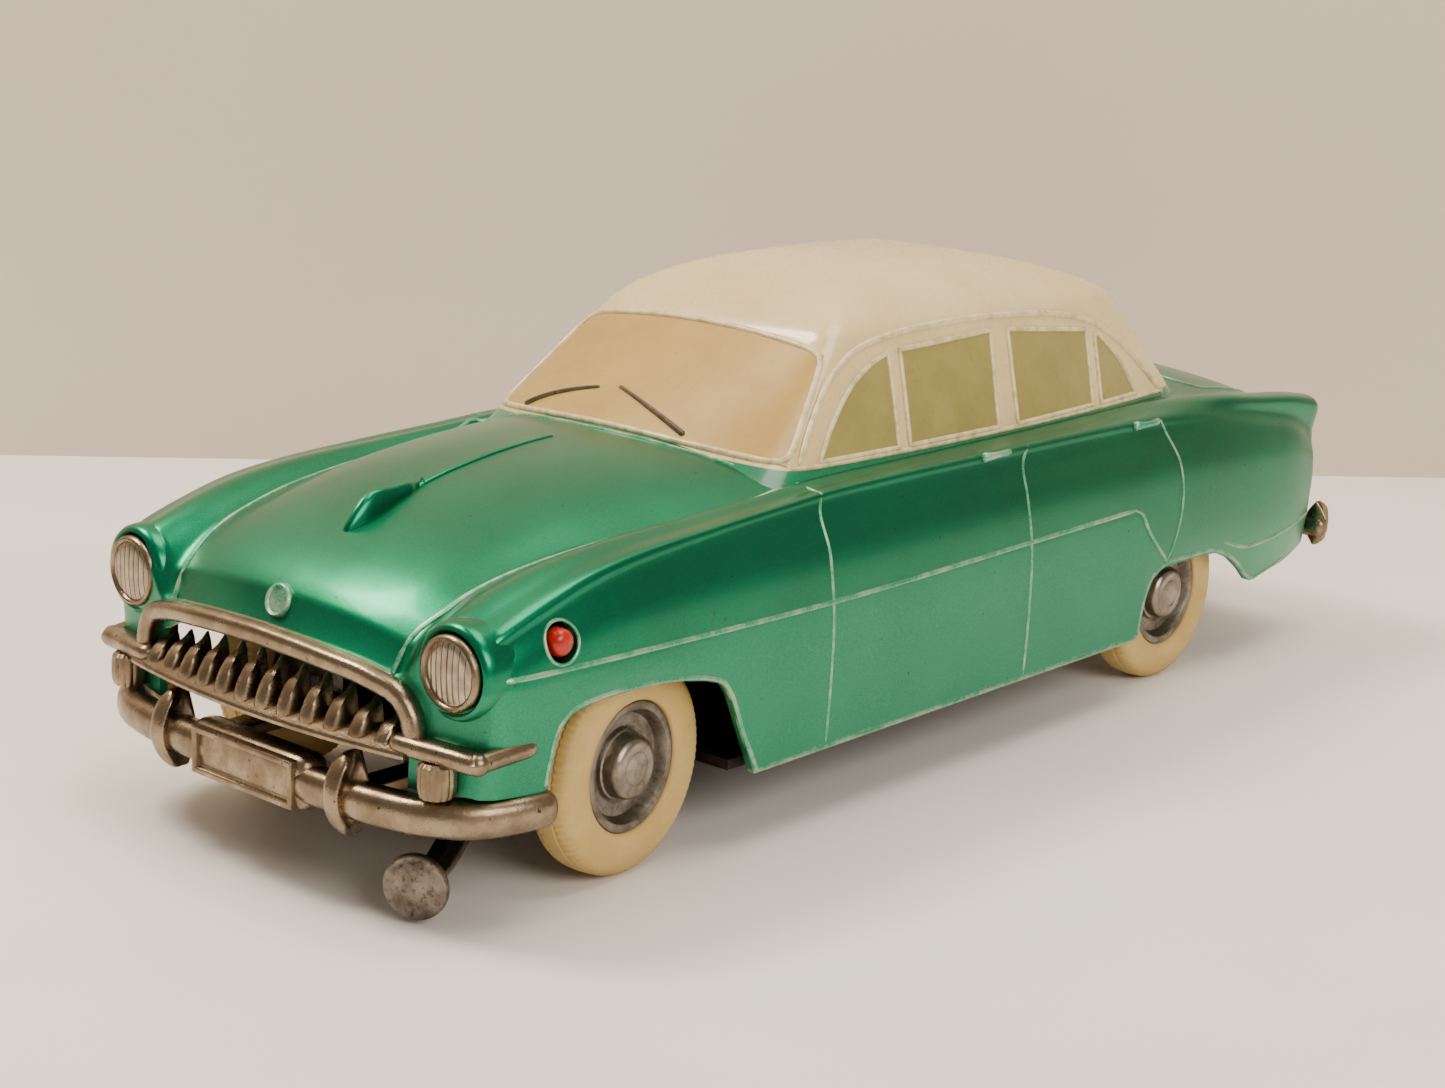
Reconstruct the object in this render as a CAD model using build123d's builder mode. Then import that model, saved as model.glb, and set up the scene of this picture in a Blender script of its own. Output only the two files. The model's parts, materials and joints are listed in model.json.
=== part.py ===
from build123d import *
from math import atan2, cos, degrees, hypot, pi, radians, sin, sqrt
import os

"""Clockwork die-cast toy saloon, about 1:32.

Millimetres. +X is forward, +Y is the car's left, +Z is up.
The origin is on the ground, under the middle of the car.
"""

os.makedirs("parts", exist_ok=True)

# ---- driving dimensions -------------------------------------------------
half_length = 75.0
front_axle_x = 49.7
rear_axle_x = -41.05

tyre_radius = 10.2
tyre_width = 4.8
tyre_bore = 6.2
wheel_centre_y = 21.0
axle_z = tyre_radius
disc_ring_radius = 6.2
hub_cap_radius = 3.25

wall = 1.3
sill_z = 7.3
nose_bottom_z = 12.1
strip_z = 22.0
wing_top_inner_y = 15.0

plate_bottom_z = 7.6
plate_thickness = 1.0
plate_top_z = plate_bottom_z + plate_thickness

kingpin_y = 15.5
kingpin_radius = 0.9
stub_radius = 1.0
steer_arm_length = 7.0
steer_at_rest = 5.4
running_fit = 0.05

gear_module = 0.5
motor_half_width = 9.0
motor_plate_thickness = 1.0
rear_axle_radius = 1.25
arbor_radius = 1.0
winding_arbor_radius = 1.5

great_teeth = 44
second_teeth = 44
small_pinion_teeth = 12
idler_teeth = 26
governor_teeth = 32
star_pinion_teeth = 8

barrel_centre = (-4.0, 20.5)
second_centre = (-17.96, 20.3)
axle_centre = (rear_axle_x, axle_z)
governor_centre = (9.5, 24.2)
star_centre = (19.35, 22.5)
spring_outer_radius = 10.0

lamp_y = 21.5
lamp_z = 22.9
lamp_radius = 3.4
lamp_seat_x = 67.4

knob_x = 61.3
knob_z = 24.8
knob_radius = 1.25
knob_hole_radius = 1.65
stop_pivot = (40.0, 21.5)
stop_lever_thickness = 0.8

lever_pivot = (38.0, 3.0)
lever_angle = 25.2
lever_z = 5.4
lever_thickness = 1.0
pad_radius = 3.0
pad_distance = 36.8
pad_z = 3.45

bumper_z = 10.3
bumper_radius = 1.65
plate_front_x = 74.7
plate_depth = 3.4
overrider_y = 11.9
plate_half_width = 6.9

rod_end_y = 24.8
rod_end_z = 15.8
rod_end_radius = 1.1

screw_places = [(30.0, 21.3), (30.0, -21.3), (-24.0, 21.3), (-24.0, -21.3)]


def finish(piece, name):
    """Label one finished piece and write it."""
    piece.part.label = name
    export_step(piece.part, f"parts/{name}.step")


# ---- body casting -------------------------------------------------------
# Lower body stations: x, half width at the sill and at the side strip, height of the wing crest
lower_stations = [
    (-72.6, 24.0, 24.6, 29.2),
    (-66.0, 25.2, 25.6, 30.4),
    (-50.0, 26.0, 26.4, 31.4),
    (-30.0, 26.2, 26.6, 31.5),
    (0.0, 26.2, 26.6, 31.5),
    (30.0, 26.2, 26.6, 31.5),
    (48.0, 26.2, 26.6, 31.2),
    (57.0, 25.8, 26.3, 30.2),
    (63.0, 25.0, 25.9, 28.8),
    (67.0, 22.6, 25.5, 27.2),
    (69.2, 20.6, 25.1, 26.4),
]
# Bonnet stations: x, half width, height at its edge, height on the centre line
bonnet_stations = [
    (24.0, 20.2, 31.0, 34.9),
    (36.0, 19.5, 30.8, 34.9),
    (47.0, 18.5, 30.3, 33.9),
    (56.0, 17.4, 29.4, 31.7),
    (63.0, 16.4, 27.6, 29.2),
    (67.8, 15.4, 24.6, 26.0),
    (71.6, 9.0, 21.6, 22.4),
]
# Boot stations: x, half width, height at its edge, height on the centre line
boot_stations = [
    (-72.6, 17.5, 26.0, 28.0),
    (-68.5, 18.5, 28.0, 30.6),
    (-58.4, 19.2, 29.8, 33.6),
    (-50.2, 19.8, 30.4, 35.0),
    (-38.0, 20.2, 30.6, 35.4),
]
# Cabin stations: x, half width at the sill, half width and height at the drip rail, roof height
cabin_stations = [
    (-51.0, 17.6, 16.0, 32.6, 34.6),
    (-45.5, 19.2, 17.4, 34.4, 38.6),
    (-40.0, 20.0, 17.4, 37.2, 42.6),
    (-33.0, 20.6, 17.0, 41.4, 46.4),
    (-22.0, 20.9, 17.0, 43.4, 49.0),
    (-8.0, 21.0, 17.0, 44.0, 50.0),
    (4.0, 21.0, 17.0, 43.8, 49.4),
    (12.0, 21.0, 16.8, 43.0, 47.2),
    (16.5, 20.9, 16.4, 41.4, 43.9),
    (21.0, 20.7, 18.0, 37.0, 39.9),
    (25.5, 20.2, 19.0, 33.8, 36.4),
    (28.6, 16.0, 14.0, 32.6, 34.2),
]


def lower_section(x, sill_width, half_width, crest_z, inset, bottom_z):
    """Outline across the lower body: flat side, rounded wing, low middle."""
    side = half_width - inset
    crest = crest_z - inset
    with BuildSketch(Plane.YZ.offset(x)) as section:
        with BuildLine():
            bottom = Line((inset - sill_width, bottom_z), (sill_width - inset, bottom_z))
            left_side = Line(bottom @ 1, (side, strip_z - 2))
            left_wing = Spline(
                left_side @ 1, (side - 0.9, crest - 4.2), (side - 3.0, crest - 0.7),
                (wing_top_inner_y + 4.6, crest - 0.2), (wing_top_inner_y, crest - 1.2),
                tangents=((0, 1), (-1, -0.3)),
            )
            top = Line(left_wing @ 1, (-wing_top_inner_y, crest - 1.2))
            right_wing = Spline(
                top @ 1, (-wing_top_inner_y - 4.6, crest - 0.2), (3.0 - side, crest - 0.7),
                (0.9 - side, crest - 4.2), (-side, strip_z - 2), tangents=((-1, 0.3), (0, -1)),
            )
            Line(right_wing @ 1, bottom @ 0)
        make_face()
    return section.sketch


def deck_section(x, half_width, edge_z, crown_z, inset, depth):
    """Outline across the bonnet or boot: a shallow crowned lid, with depth below its edge."""
    side = half_width - inset
    edge = edge_z - inset
    crown = crown_z - inset
    with BuildSketch(Plane.YZ.offset(x)) as section:
        with BuildLine():
            bottom = Line((-side, edge - depth), (side, edge - depth))
            left = Line(bottom @ 1, (side, edge))
            rise = crown - edge
            top = Spline(
                left @ 1, (side * 0.72, edge + rise * 0.62), (0, crown),
                (-side * 0.72, edge + rise * 0.62), (-side, edge),
            )
            Line(top @ 1, bottom @ 0)
        make_face()
    return section.sketch


def cabin_section(x, sill_y, rail_y, rail_z, roof_z, inset, bottom_z):
    """Outline across the cabin: leaning sides, rounded rail, crowned roof."""
    with BuildSketch(Plane.YZ.offset(x)) as section:
        with BuildLine():
            foot = sill_y - inset
            rail = rail_y - inset
            rise = roof_z - rail_z
            bottom = Line((-foot, bottom_z), (foot, bottom_z))
            Spline(
                bottom @ 1, (rail, rail_z - inset), (rail * 0.86, rail_z + rise * 0.5 - inset),
                (rail * 0.5, rail_z + rise * 0.87 - inset), (0, roof_z - inset),
                (-rail * 0.5, rail_z + rise * 0.87 - inset), (-rail * 0.86, rail_z + rise * 0.5 - inset),
                (-rail, rail_z - inset), bottom @ 0,
            )
        make_face()
    return section.sketch


front_arch = [
    (35.6, sill_z - 3), (35.9, sill_z), (40.3, 16.4), (42.5, 17.9), (47.0, 18.8),
    (56.5, 19.3), (60.8, 18.4), (62.3, 16.0), (62.6, nose_bottom_z), (63.0, nose_bottom_z - 8),
]
rear_arch = [
    (-30.2, sill_z - 3), (-30.3, 8.1), (-31.2, 12.0), (-34.0, 14.8), (-46.0, 14.8),
    (-49.8, 13.3), (-53.2, 11.2), (-54.9, 9.7), (-55.4, sill_z - 3),
]
tail_underside = [
    (-54.9, 9.7), (-63.9, 10.6), (-70.8, 12.0), (-80.0, 14.5), (-80.0, 2.0), (-54.9, 2.0),
]

with BuildPart() as body_shell:
    loft([lower_section(x, s, w, z, 0, sill_z) for x, s, w, z in lower_stations], ruled=True)
    loft([deck_section(x, w, e, c, 0, 4) for x, w, e, c in bonnet_stations], ruled=True)
    loft([deck_section(x, w, e, c, 0, 4) for x, w, e, c in boot_stations], ruled=True)
    loft([cabin_section(x, s, r, rz, z, 0, 30.5) for x, s, r, rz, z in cabin_stations], ruled=True)
    # hollow inside, open below
    loft(
        [lower_section(x * 0.981, s, w, z, wall, sill_z - 4) for x, s, w, z in lower_stations],
        ruled=True, mode=Mode.SUBTRACT,
    )
    loft(
        [deck_section(x, w, e, c, wall, 4) for x, w, e, c in bonnet_stations[:-1]],
        ruled=True, mode=Mode.SUBTRACT,
    )
    loft(
        [deck_section(x * 0.98, w, e, c, wall, 4) for x, w, e, c in boot_stations],
        ruled=True, mode=Mode.SUBTRACT,
    )
    loft(
        [cabin_section(x * 0.97, s, r, rz, z, wall, 28.0) for x, s, r, rz, z in cabin_stations],
        ruled=True, mode=Mode.SUBTRACT,
    )
    # wheel arches, through both sides
    for arch in (front_arch, rear_arch):
        with BuildSketch(Plane.XZ.offset(-30)):
            with BuildLine():
                Polyline(*arch, close=True)
            make_face()
        extrude(amount=60, mode=Mode.SUBTRACT)
    # the underside rises behind the rear wheels and in front of the front wheels
    with BuildSketch(Plane.XZ.offset(-30)):
        with BuildLine():
            Polyline(*tail_underside, close=True)
        make_face()
    extrude(amount=60, mode=Mode.SUBTRACT)
    with Locations((70.0, 0, nose_bottom_z - 5)):
        Box(15.0, 60, 10, mode=Mode.SUBTRACT)
    # mouth behind the grille
    with Locations((70.0, 0, 14.0)):
        Box(20.0, 36.0, 13.6, mode=Mode.SUBTRACT)
    # screw columns beside the sills
    for column_x, column_y in screw_places:
        side = 1 if column_y > 0 else -1
        with Locations((column_x, side * 23.4, (plate_top_z + 26.0) / 2)):
            Box(5.0, 5.2, 26.0 - plate_top_z)
        with Locations((column_x, column_y, (plate_top_z + 26.0) / 2)):
            Cylinder(2.5, 26.0 - plate_top_z)
        with Locations((column_x, column_y, plate_top_z + 4.0)):
            Cylinder(1.0, 8.0, mode=Mode.SUBTRACT)
    # column for the stop lever's pivot
    with Locations((stop_pivot[0], stop_pivot[1], 28.0)):
        Cylinder(2.0, 5.2)
        Cylinder(kingpin_radius, 5.2, mode=Mode.SUBTRACT)
    # headlamp seats, with a hole for each lamp's stem
    for side in (1, -1):
        with Locations(Location((lamp_seat_x - 1.4, side * lamp_y, lamp_z), (0, 90, 0))):
            Cylinder(lamp_radius + 0.3, 2.8)
        with Locations(Location((lamp_seat_x + 5.0, side * lamp_y, lamp_z), (0, 90, 0))):
            Cylinder(lamp_radius, 10.0, mode=Mode.SUBTRACT)
        with Locations(Location((lamp_seat_x - 2.0, side * lamp_y, lamp_z), (0, 90, 0))):
            Cylinder(1.2, 6.0, mode=Mode.SUBTRACT)
    # grooves that clear the grille's side rods
    for side in (1, -1):
        with Locations(Location((68.0, side * rod_end_y, rod_end_z), (0, 90, 0))):
            Cylinder(rod_end_radius + 0.05, 7.0, mode=Mode.SUBTRACT)
    # hole for the stop knob in the left wing
    with Locations(Location((knob_x, 25.0, knob_z), (90, 0, 0))):
        Cylinder(knob_hole_radius, 8.0, mode=Mode.SUBTRACT)
    # winding hole in the right side
    with Locations(Location((barrel_centre[0], -26.0, barrel_centre[1]), (90, 0, 0))):
        Cylinder(2.6, 6.0, mode=Mode.SUBTRACT)
finish(body_shell, "body_shell")

# ---- base plate and its screws ------------------------------------------
wheel_well_front = 24.6
wheel_well_rear = 29.0
with BuildPart() as base_plate:
    with BuildSketch(Plane.XY.offset(plate_bottom_z)):
        with Locations((1.5, 0)):
            RectangleRounded(113.0, 49.0, 3.0)
        for side in (1, -1):
            with Locations((front_axle_x + 0.3, side * 25.0)):
                Rectangle(wheel_well_front, 19.4, mode=Mode.SUBTRACT)
            with Locations((front_axle_x, side * 16.2)):
                Rectangle(4.6, 2.2)
            with Locations((rear_axle_x - 2.0, side * 25.0)):
                Rectangle(wheel_well_rear, 14.6, mode=Mode.SUBTRACT)
        # window over the axle pinion
        with Locations((rear_axle_x, 3.5)):
            Rectangle(9.0, 4.0, mode=Mode.SUBTRACT)
    extrude(amount=plate_thickness)
    with Locations(*[(x, y, plate_bottom_z) for x, y in screw_places]):
        Cylinder(1.2, 4, mode=Mode.SUBTRACT)
    with Locations((front_axle_x, kingpin_y, plate_bottom_z), (front_axle_x, -kingpin_y, plate_bottom_z)):
        Cylinder(kingpin_radius + running_fit, 4, mode=Mode.SUBTRACT)
    with Locations((lever_pivot[0], lever_pivot[1], plate_bottom_z)):
        Cylinder(1.2, 4, mode=Mode.SUBTRACT)
finish(base_plate, "base_plate")

with BuildPart() as base_screws:
    for screw_x, screw_y in screw_places:
        with Locations((screw_x, screw_y, plate_bottom_z - 0.5)):
            Cylinder(2.0, 1.0)
        with Locations((screw_x, screw_y, plate_bottom_z + 3.5)):
            Cylinder(1.0, 7.0)
        with Locations((screw_x, screw_y, plate_bottom_z - 0.8)):
            Box(3.4, 0.5, 0.4, mode=Mode.SUBTRACT)
finish(base_screws, "base_screws")

# ---- wheels -------------------------------------------------------------
# Each wheel is drawn as a radial profile: first number along the axle
# (outwards from the wheel's middle plane), second number the radius.
half_width = tyre_width / 2
tyre_profile = [
    (-half_width, tyre_bore), (-half_width, tyre_radius - 1.4), (-half_width + 0.9, tyre_radius),
    (half_width - 0.9, tyre_radius), (half_width, tyre_radius - 1.4), (half_width, tyre_bore),
]
disc_profile = [
    (-1.9, 1.0), (-1.9, 2.4), (-0.4, 2.4), (0.2, 4.6), (0.8, 5.1), (-1.6, 5.4), (-1.6, disc_ring_radius),
    (half_width - 0.4, disc_ring_radius), (half_width + 0.1, 5.7), (half_width - 0.2, 5.2),
    (1.2, 4.7), (0.9, 3.4), (0.9, 1.0),
]


def wheel_plane(side, steer, along_axle):
    """Plane across a front wheel's axle, its normal pointing out of the car."""
    angle = radians(steer)
    out_x = -sin(angle) * side
    out_y = cos(angle) * side
    reach = wheel_centre_y - kingpin_y + along_axle
    origin = (front_axle_x + out_x * reach, side * kingpin_y + out_y * reach, axle_z)
    return Plane(origin=origin, x_dir=(cos(angle), sin(angle), 0), z_dir=(out_x, out_y, 0))


def rear_wheel_plane(side, along_axle):
    """Plane across a rear wheel's axle, its normal pointing out of the car."""
    origin = (rear_axle_x, side * (wheel_centre_y + along_axle), axle_z)
    return Plane(origin=origin, x_dir=(1, 0, 0), z_dir=(0, side, 0))


def radial_plane(plane):
    """Plane through the wheel's axle, with X along the axle and Y outwards from it."""
    return Plane(origin=plane.origin, x_dir=plane.z_dir, z_dir=-plane.x_dir)


def make_wheel(name, plane, cap_plane, bore):
    """Tyre, pressed disc and hub cap of one wheel."""
    section_plane = radial_plane(plane)
    spin_axis = Axis(plane.origin, plane.z_dir)
    with BuildPart() as tyre:
        with BuildSketch(section_plane):
            with BuildLine():
                Polyline(*tyre_profile, close=True)
            make_face()
        revolve(axis=spin_axis)
    finish(tyre, f"tyre_{name}")
    with BuildPart() as disc:
        with BuildSketch(section_plane):
            with BuildLine():
                Polyline(*[(a, max(r, bore)) for a, r in disc_profile], close=True)
            make_face()
        revolve(axis=spin_axis)
    finish(disc, f"wheel_disc_{name}")
    with BuildPart(cap_plane) as cap:
        Cylinder(hub_cap_radius, 1.9, align=(Align.CENTER, Align.CENTER, Align.MIN))
        fillet(cap.edges().sort_by(Axis(cap_plane.origin, cap_plane.z_dir))[-1:], 0.35)
    finish(cap, f"hub_cap_{name}")


cap_seat = 0.9
for side, side_name in ((1, "left"), (-1, "right")):
    make_wheel(
        f"front_{side_name}", wheel_plane(side, steer_at_rest, 0),
        wheel_plane(side, steer_at_rest, cap_seat), stub_radius + running_fit,
    )
    make_wheel(
        f"rear_{side_name}", rear_wheel_plane(side, 0), rear_wheel_plane(side, cap_seat), rear_axle_radius,
    )

with BuildPart(Plane(origin=(rear_axle_x, 0, axle_z), z_dir=(0, 1, 0))) as rear_axle:
    Cylinder(rear_axle_radius, 2 * (wheel_centre_y + cap_seat))
finish(rear_axle, "rear_axle")

# ---- steering -----------------------------------------------------------
beam_bottom_z = 12.4
beam_thickness = 1.4
with BuildPart() as front_beam:
    with Locations((front_axle_x, 0, beam_bottom_z + beam_thickness / 2)):
        Box(4.4, 2 * kingpin_y + 4.0, beam_thickness)
    with Locations((front_axle_x, 8.0, (plate_top_z + beam_bottom_z) / 2)):
        Box(3.0, 2.0, beam_bottom_z - plate_top_z)
    with Locations((front_axle_x, -8.0, (plate_top_z + beam_bottom_z) / 2)):
        Box(3.0, 2.0, beam_bottom_z - plate_top_z)
    with Locations((front_axle_x, kingpin_y, beam_bottom_z), (front_axle_x, -kingpin_y, beam_bottom_z)):
        Cylinder(kingpin_radius + running_fit, 6, mode=Mode.SUBTRACT)
finish(front_beam, "front_beam")

block_bottom_z = plate_top_z + 0.15
block_top_z = beam_bottom_z - 0.15
arm_top_z = block_top_z - 0.2
arm_thickness = 1.0
rod_thickness = 1.0
for side, side_name in ((1, "left"), (-1, "right")):
    pivot_plane = Plane(
        origin=(front_axle_x, side * kingpin_y, 0),
        x_dir=(cos(radians(steer_at_rest)), sin(radians(steer_at_rest)), 0), z_dir=(0, 0, 1),
    )
    rod_hole = 0.75 if side > 0 else 0.95
    with BuildPart(pivot_plane) as knuckle:
        with Locations((0, 0, (block_bottom_z + block_top_z) / 2)):
            Box(3.2, 3.2, block_top_z - block_bottom_z)
        with Locations((0, 0, (plate_bottom_z + beam_bottom_z + beam_thickness) / 2)):
            Cylinder(kingpin_radius, beam_bottom_z + beam_thickness - plate_bottom_z)
        with Locations(Location((0, side * 3.15, axle_z), (90, 0, 0))):
            Cylinder(stub_radius, wheel_centre_y + cap_seat - kingpin_y)
        with Locations((-steer_arm_length / 2, 0, arm_top_z - arm_thickness / 2)):
            Box(steer_arm_length, 2.4, arm_thickness)
        with Locations((-steer_arm_length, 0, arm_top_z - arm_thickness / 2)):
            Cylinder(1.6, arm_thickness)
            Cylinder(rod_hole, arm_thickness, mode=Mode.SUBTRACT)
    finish(knuckle, f"steering_knuckle_{side_name}")

rod_x = front_axle_x - steer_arm_length * cos(radians(steer_at_rest))
rod_shift_y = -steer_arm_length * sin(radians(steer_at_rest))
rod_top_z = arm_top_z - arm_thickness - 0.1
with BuildPart() as tie_rod:
    with Locations((rod_x, rod_shift_y, rod_top_z - rod_thickness / 2)):
        Box(2.2, 2 * kingpin_y + 2.4, rod_thickness)
    with Locations((rod_x, rod_shift_y + kingpin_y, rod_top_z), (rod_x, rod_shift_y - kingpin_y, rod_top_z)):
        Cylinder(0.7, 1.4, align=(Align.CENTER, Align.CENTER, Align.MIN))
finish(tie_rod, "tie_rod")

# ---- clockwork motor ----------------------------------------------------
plate_outline = [
    (-46.5, plate_top_z), (26.0, plate_top_z), (26.5, 27.0), (15.0, 31.0), (-6.0, 33.0),
    (-32.0, 31.0), (-46.5, 21.5),
]
pillar_places = [(-44.5, 18.5), (-29.5, 10.6), (6.5, 12.5), (-30.0, 28.8), (24.0, 12.5)]
anchor_pivot = (19.35, 28.6)


def second_circle_meet(first, second, first_reach, second_reach):
    """Upper point at the given distances from two centres."""
    dx = second[0] - first[0]
    dz = second[1] - first[1]
    span = hypot(dx, dz)
    along = (first_reach**2 - second_reach**2 + span**2) / (2 * span)
    aside = sqrt(first_reach**2 - along**2)
    return (
        first[0] + (along * dx + aside * dz) / span,
        first[1] + (along * dz - aside * dx) / span,
    )


def pitch_radius(teeth):
    return teeth * gear_module / 2


idler_centre = second_circle_meet(
    second_centre, axle_centre,
    pitch_radius(second_teeth + idler_teeth), pitch_radius(idler_teeth + small_pinion_teeth),
)


def mesh_phase(driver, driven, driver_teeth, driven_teeth, driver_phase):
    """Angle of one tooth of the driven gear, so that a gap of it faces a tooth of the driver."""
    line = degrees(atan2(driven[1] - driver[1], driven[0] - driver[0]))
    offset = (driver_phase - line) % (360 / driver_teeth)
    return line + 180 - offset * driver_teeth / driven_teeth + 180 / driven_teeth


def gear_outline(teeth, phase):
    """Corner points of a gear with slim straight-sided teeth."""
    pitch = pitch_radius(teeth)
    tip = pitch + 0.42 * gear_module * 2
    root = pitch - 0.55 * gear_module * 2
    half_root = degrees(0.33 * gear_module * pi / 2 / pitch) * 1.7
    half_tip = degrees(0.33 * gear_module * pi / 2 / pitch) * 0.6
    points = []
    for tooth in range(teeth):
        middle = phase + tooth * 360 / teeth
        for radius, turn in ((root, -half_root), (tip, -half_tip), (tip, half_tip), (root, half_root)):
            angle = radians(middle + turn)
            points.append((radius * cos(angle), radius * sin(angle)))
    return points


def side_plane(centre, y):
    """Plane facing the car's right, so that its X is forward and its Y is up."""
    return Plane(origin=(centre[0], y, centre[1]), x_dir=(1, 0, 0), z_dir=(0, -1, 0))


def make_gear(name, centre, teeth, phase, start_y, width, bore):
    """Gear cut from sheet or bar, from start_y towards the car's left."""
    with BuildPart() as gear:
        with BuildSketch(side_plane(centre, start_y + width)):
            with BuildLine():
                Polyline(*gear_outline(teeth, phase), close=True)
            make_face()
            Circle(bore, mode=Mode.SUBTRACT)
            if teeth > 30:
                with PolarLocations(pitch_radius(teeth) * 0.58, 5):
                    Circle(pitch_radius(teeth) * 0.18, mode=Mode.SUBTRACT)
        extrude(amount=width)
    finish(gear, name)


def make_arbor(name, centre, start_y, end_y, radius):
    """Plain round arbor."""
    with BuildPart(side_plane(centre, end_y)) as arbor:
        Cylinder(radius, end_y - start_y, align=(Align.CENTER, Align.CENTER, Align.MIN))
    finish(arbor, name)


bearing_holes = [
    (barrel_centre, winding_arbor_radius), (second_centre, arbor_radius), (idler_centre, arbor_radius),
    (axle_centre, rear_axle_radius), (governor_centre, arbor_radius), (star_centre, arbor_radius),
]
for side, side_name in ((1, "left"), (-1, "right")):
    outer_y = side * (motor_half_width + motor_plate_thickness)
    middle_y = side * (motor_half_width + motor_plate_thickness / 2)
    with BuildPart() as motor_plate:
        with BuildSketch(Plane(origin=(0, middle_y, 0), x_dir=(1, 0, 0), z_dir=(0, -1, 0))):
            with BuildLine():
                Polyline(*plate_outline, close=True)
            make_face()
            for centre, radius in bearing_holes:
                with Locations(centre):
                    Circle(radius + running_fit, mode=Mode.SUBTRACT)
        extrude(amount=motor_plate_thickness / 2, both=True)
        for foot_x in (-20.0, 16.0):
            with Locations((foot_x, outer_y + side * 2.0, plate_top_z + 0.5)):
                Box(7.0, 5.0, 1.0)
    finish(motor_plate, f"motor_plate_{side_name}")

with BuildPart() as motor_pillars:
    for pillar in pillar_places:
        with BuildSketch(side_plane(pillar, 0)):
            Circle(1.2)
        extrude(amount=motor_half_width, both=True)
finish(motor_pillars, "motor_pillars")

with BuildPart() as motor_rivets:
    for foot_x in (-20.0, 16.0):
        for foot_y in (12.6, -12.6):
            with Locations((foot_x, foot_y, plate_top_z + 1.0)):
                Cylinder(1.1, 0.7, align=(Align.CENTER, Align.CENTER, Align.MIN))
finish(motor_rivets, "motor_rivets")

great_phase = 0.0
second_pinion_phase = mesh_phase(barrel_centre, second_centre, great_teeth, small_pinion_teeth, great_phase)
governor_pinion_phase = mesh_phase(
    barrel_centre, governor_centre, great_teeth, small_pinion_teeth, great_phase
)
idler_phase = mesh_phase(second_centre, idler_centre, second_teeth, idler_teeth, 0.0)
axle_pinion_phase = mesh_phase(idler_centre, axle_centre, idler_teeth, small_pinion_teeth, idler_phase)
star_pinion_phase = mesh_phase(governor_centre, star_centre, governor_teeth, star_pinion_teeth, 0.0)

make_gear("great_wheel", barrel_centre, great_teeth, great_phase, 0.4, 1.2, winding_arbor_radius + running_fit)
make_gear("second_pinion", second_centre, small_pinion_teeth, second_pinion_phase, 0.0, 2.0, arbor_radius)
make_gear("second_wheel", second_centre, second_teeth, 0.0, 3.1, 1.0, arbor_radius)
make_gear("idler_gear", idler_centre, idler_teeth, idler_phase, 2.9, 1.4, arbor_radius)
make_gear("axle_pinion", axle_centre, small_pinion_teeth, axle_pinion_phase, 2.6, 2.0, rear_axle_radius)
make_gear("governor_pinion", governor_centre, small_pinion_teeth, governor_pinion_phase, 0.0, 2.0, arbor_radius)
make_gear("governor_wheel", governor_centre, governor_teeth, 0.0, 5.0, 1.0, arbor_radius)
make_gear("star_pinion", star_centre, star_pinion_teeth, star_pinion_phase, 4.6, 1.8, arbor_radius * 0.8)
arbor_end_y = motor_half_width + motor_plate_thickness
make_arbor("second_arbor", second_centre, -arbor_end_y, arbor_end_y, arbor_radius)
make_arbor("idler_arbor", idler_centre, -arbor_end_y, arbor_end_y, arbor_radius)
make_arbor("governor_arbor", governor_centre, -arbor_end_y, arbor_end_y, arbor_radius)

star_start_y = arbor_end_y + 1.0
star_points = 12
with BuildPart() as star_wheel:
    with BuildSketch(side_plane(star_centre, star_start_y + 1.0)):
        Circle(3.2)
        for point in range(star_points):
            turn = radians(point * 360 / star_points)
            lean = radians(point * 360 / star_points + 9)
            back = radians(point * 360 / star_points - 9)
            with BuildLine():
                Polyline(
                    (3.0 * cos(back), 3.0 * sin(back)), (4.4 * cos(turn), 4.4 * sin(turn)),
                    (3.0 * cos(lean), 3.0 * sin(lean)), (0, 0), close=True,
                )
            make_face()
        Circle(arbor_radius, mode=Mode.SUBTRACT)
    extrude(amount=1.0)
finish(star_wheel, "star_wheel")
with BuildPart(side_plane(star_centre, star_start_y + 1.0)) as star_arbor:
    Cylinder(arbor_radius, 1.0 + star_start_y - 6.4, align=(Align.CENTER, Align.CENTER, Align.MIN))
    with Locations((0, 0, 1.0 + star_start_y - 6.4)):
        Cylinder(arbor_radius * 0.8, 6.4 + arbor_end_y, align=(Align.CENTER, Align.CENTER, Align.MIN))
finish(star_arbor, "star_arbor")

anchor_span = 3.9
with BuildPart() as anchor:
    with BuildSketch(side_plane(anchor_pivot, star_start_y + 1.0)):
        with Locations((0, 0.3)):
            Rectangle(2 * anchor_span + 1.2, 1.6)
        for side in (1, -1):
            with Locations((side * (anchor_span + 0.1), -1.6)):
                Rectangle(1.0, 3.4)
        Circle(1.5)
        Circle(0.8 + running_fit, mode=Mode.SUBTRACT)
    extrude(amount=1.0)
finish(anchor, "anchor")
with BuildPart(side_plane(anchor_pivot, star_start_y + 1.4)) as anchor_pin:
    Cylinder(0.8, star_start_y + 1.4 - arbor_end_y, align=(Align.CENTER, Align.CENTER, Align.MIN))
    with Locations((0, 0, 0)):
        Cylinder(1.2, 0.3, align=(Align.CENTER, Align.CENTER, Align.MIN))
finish(anchor_pin, "anchor_pin")

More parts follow.
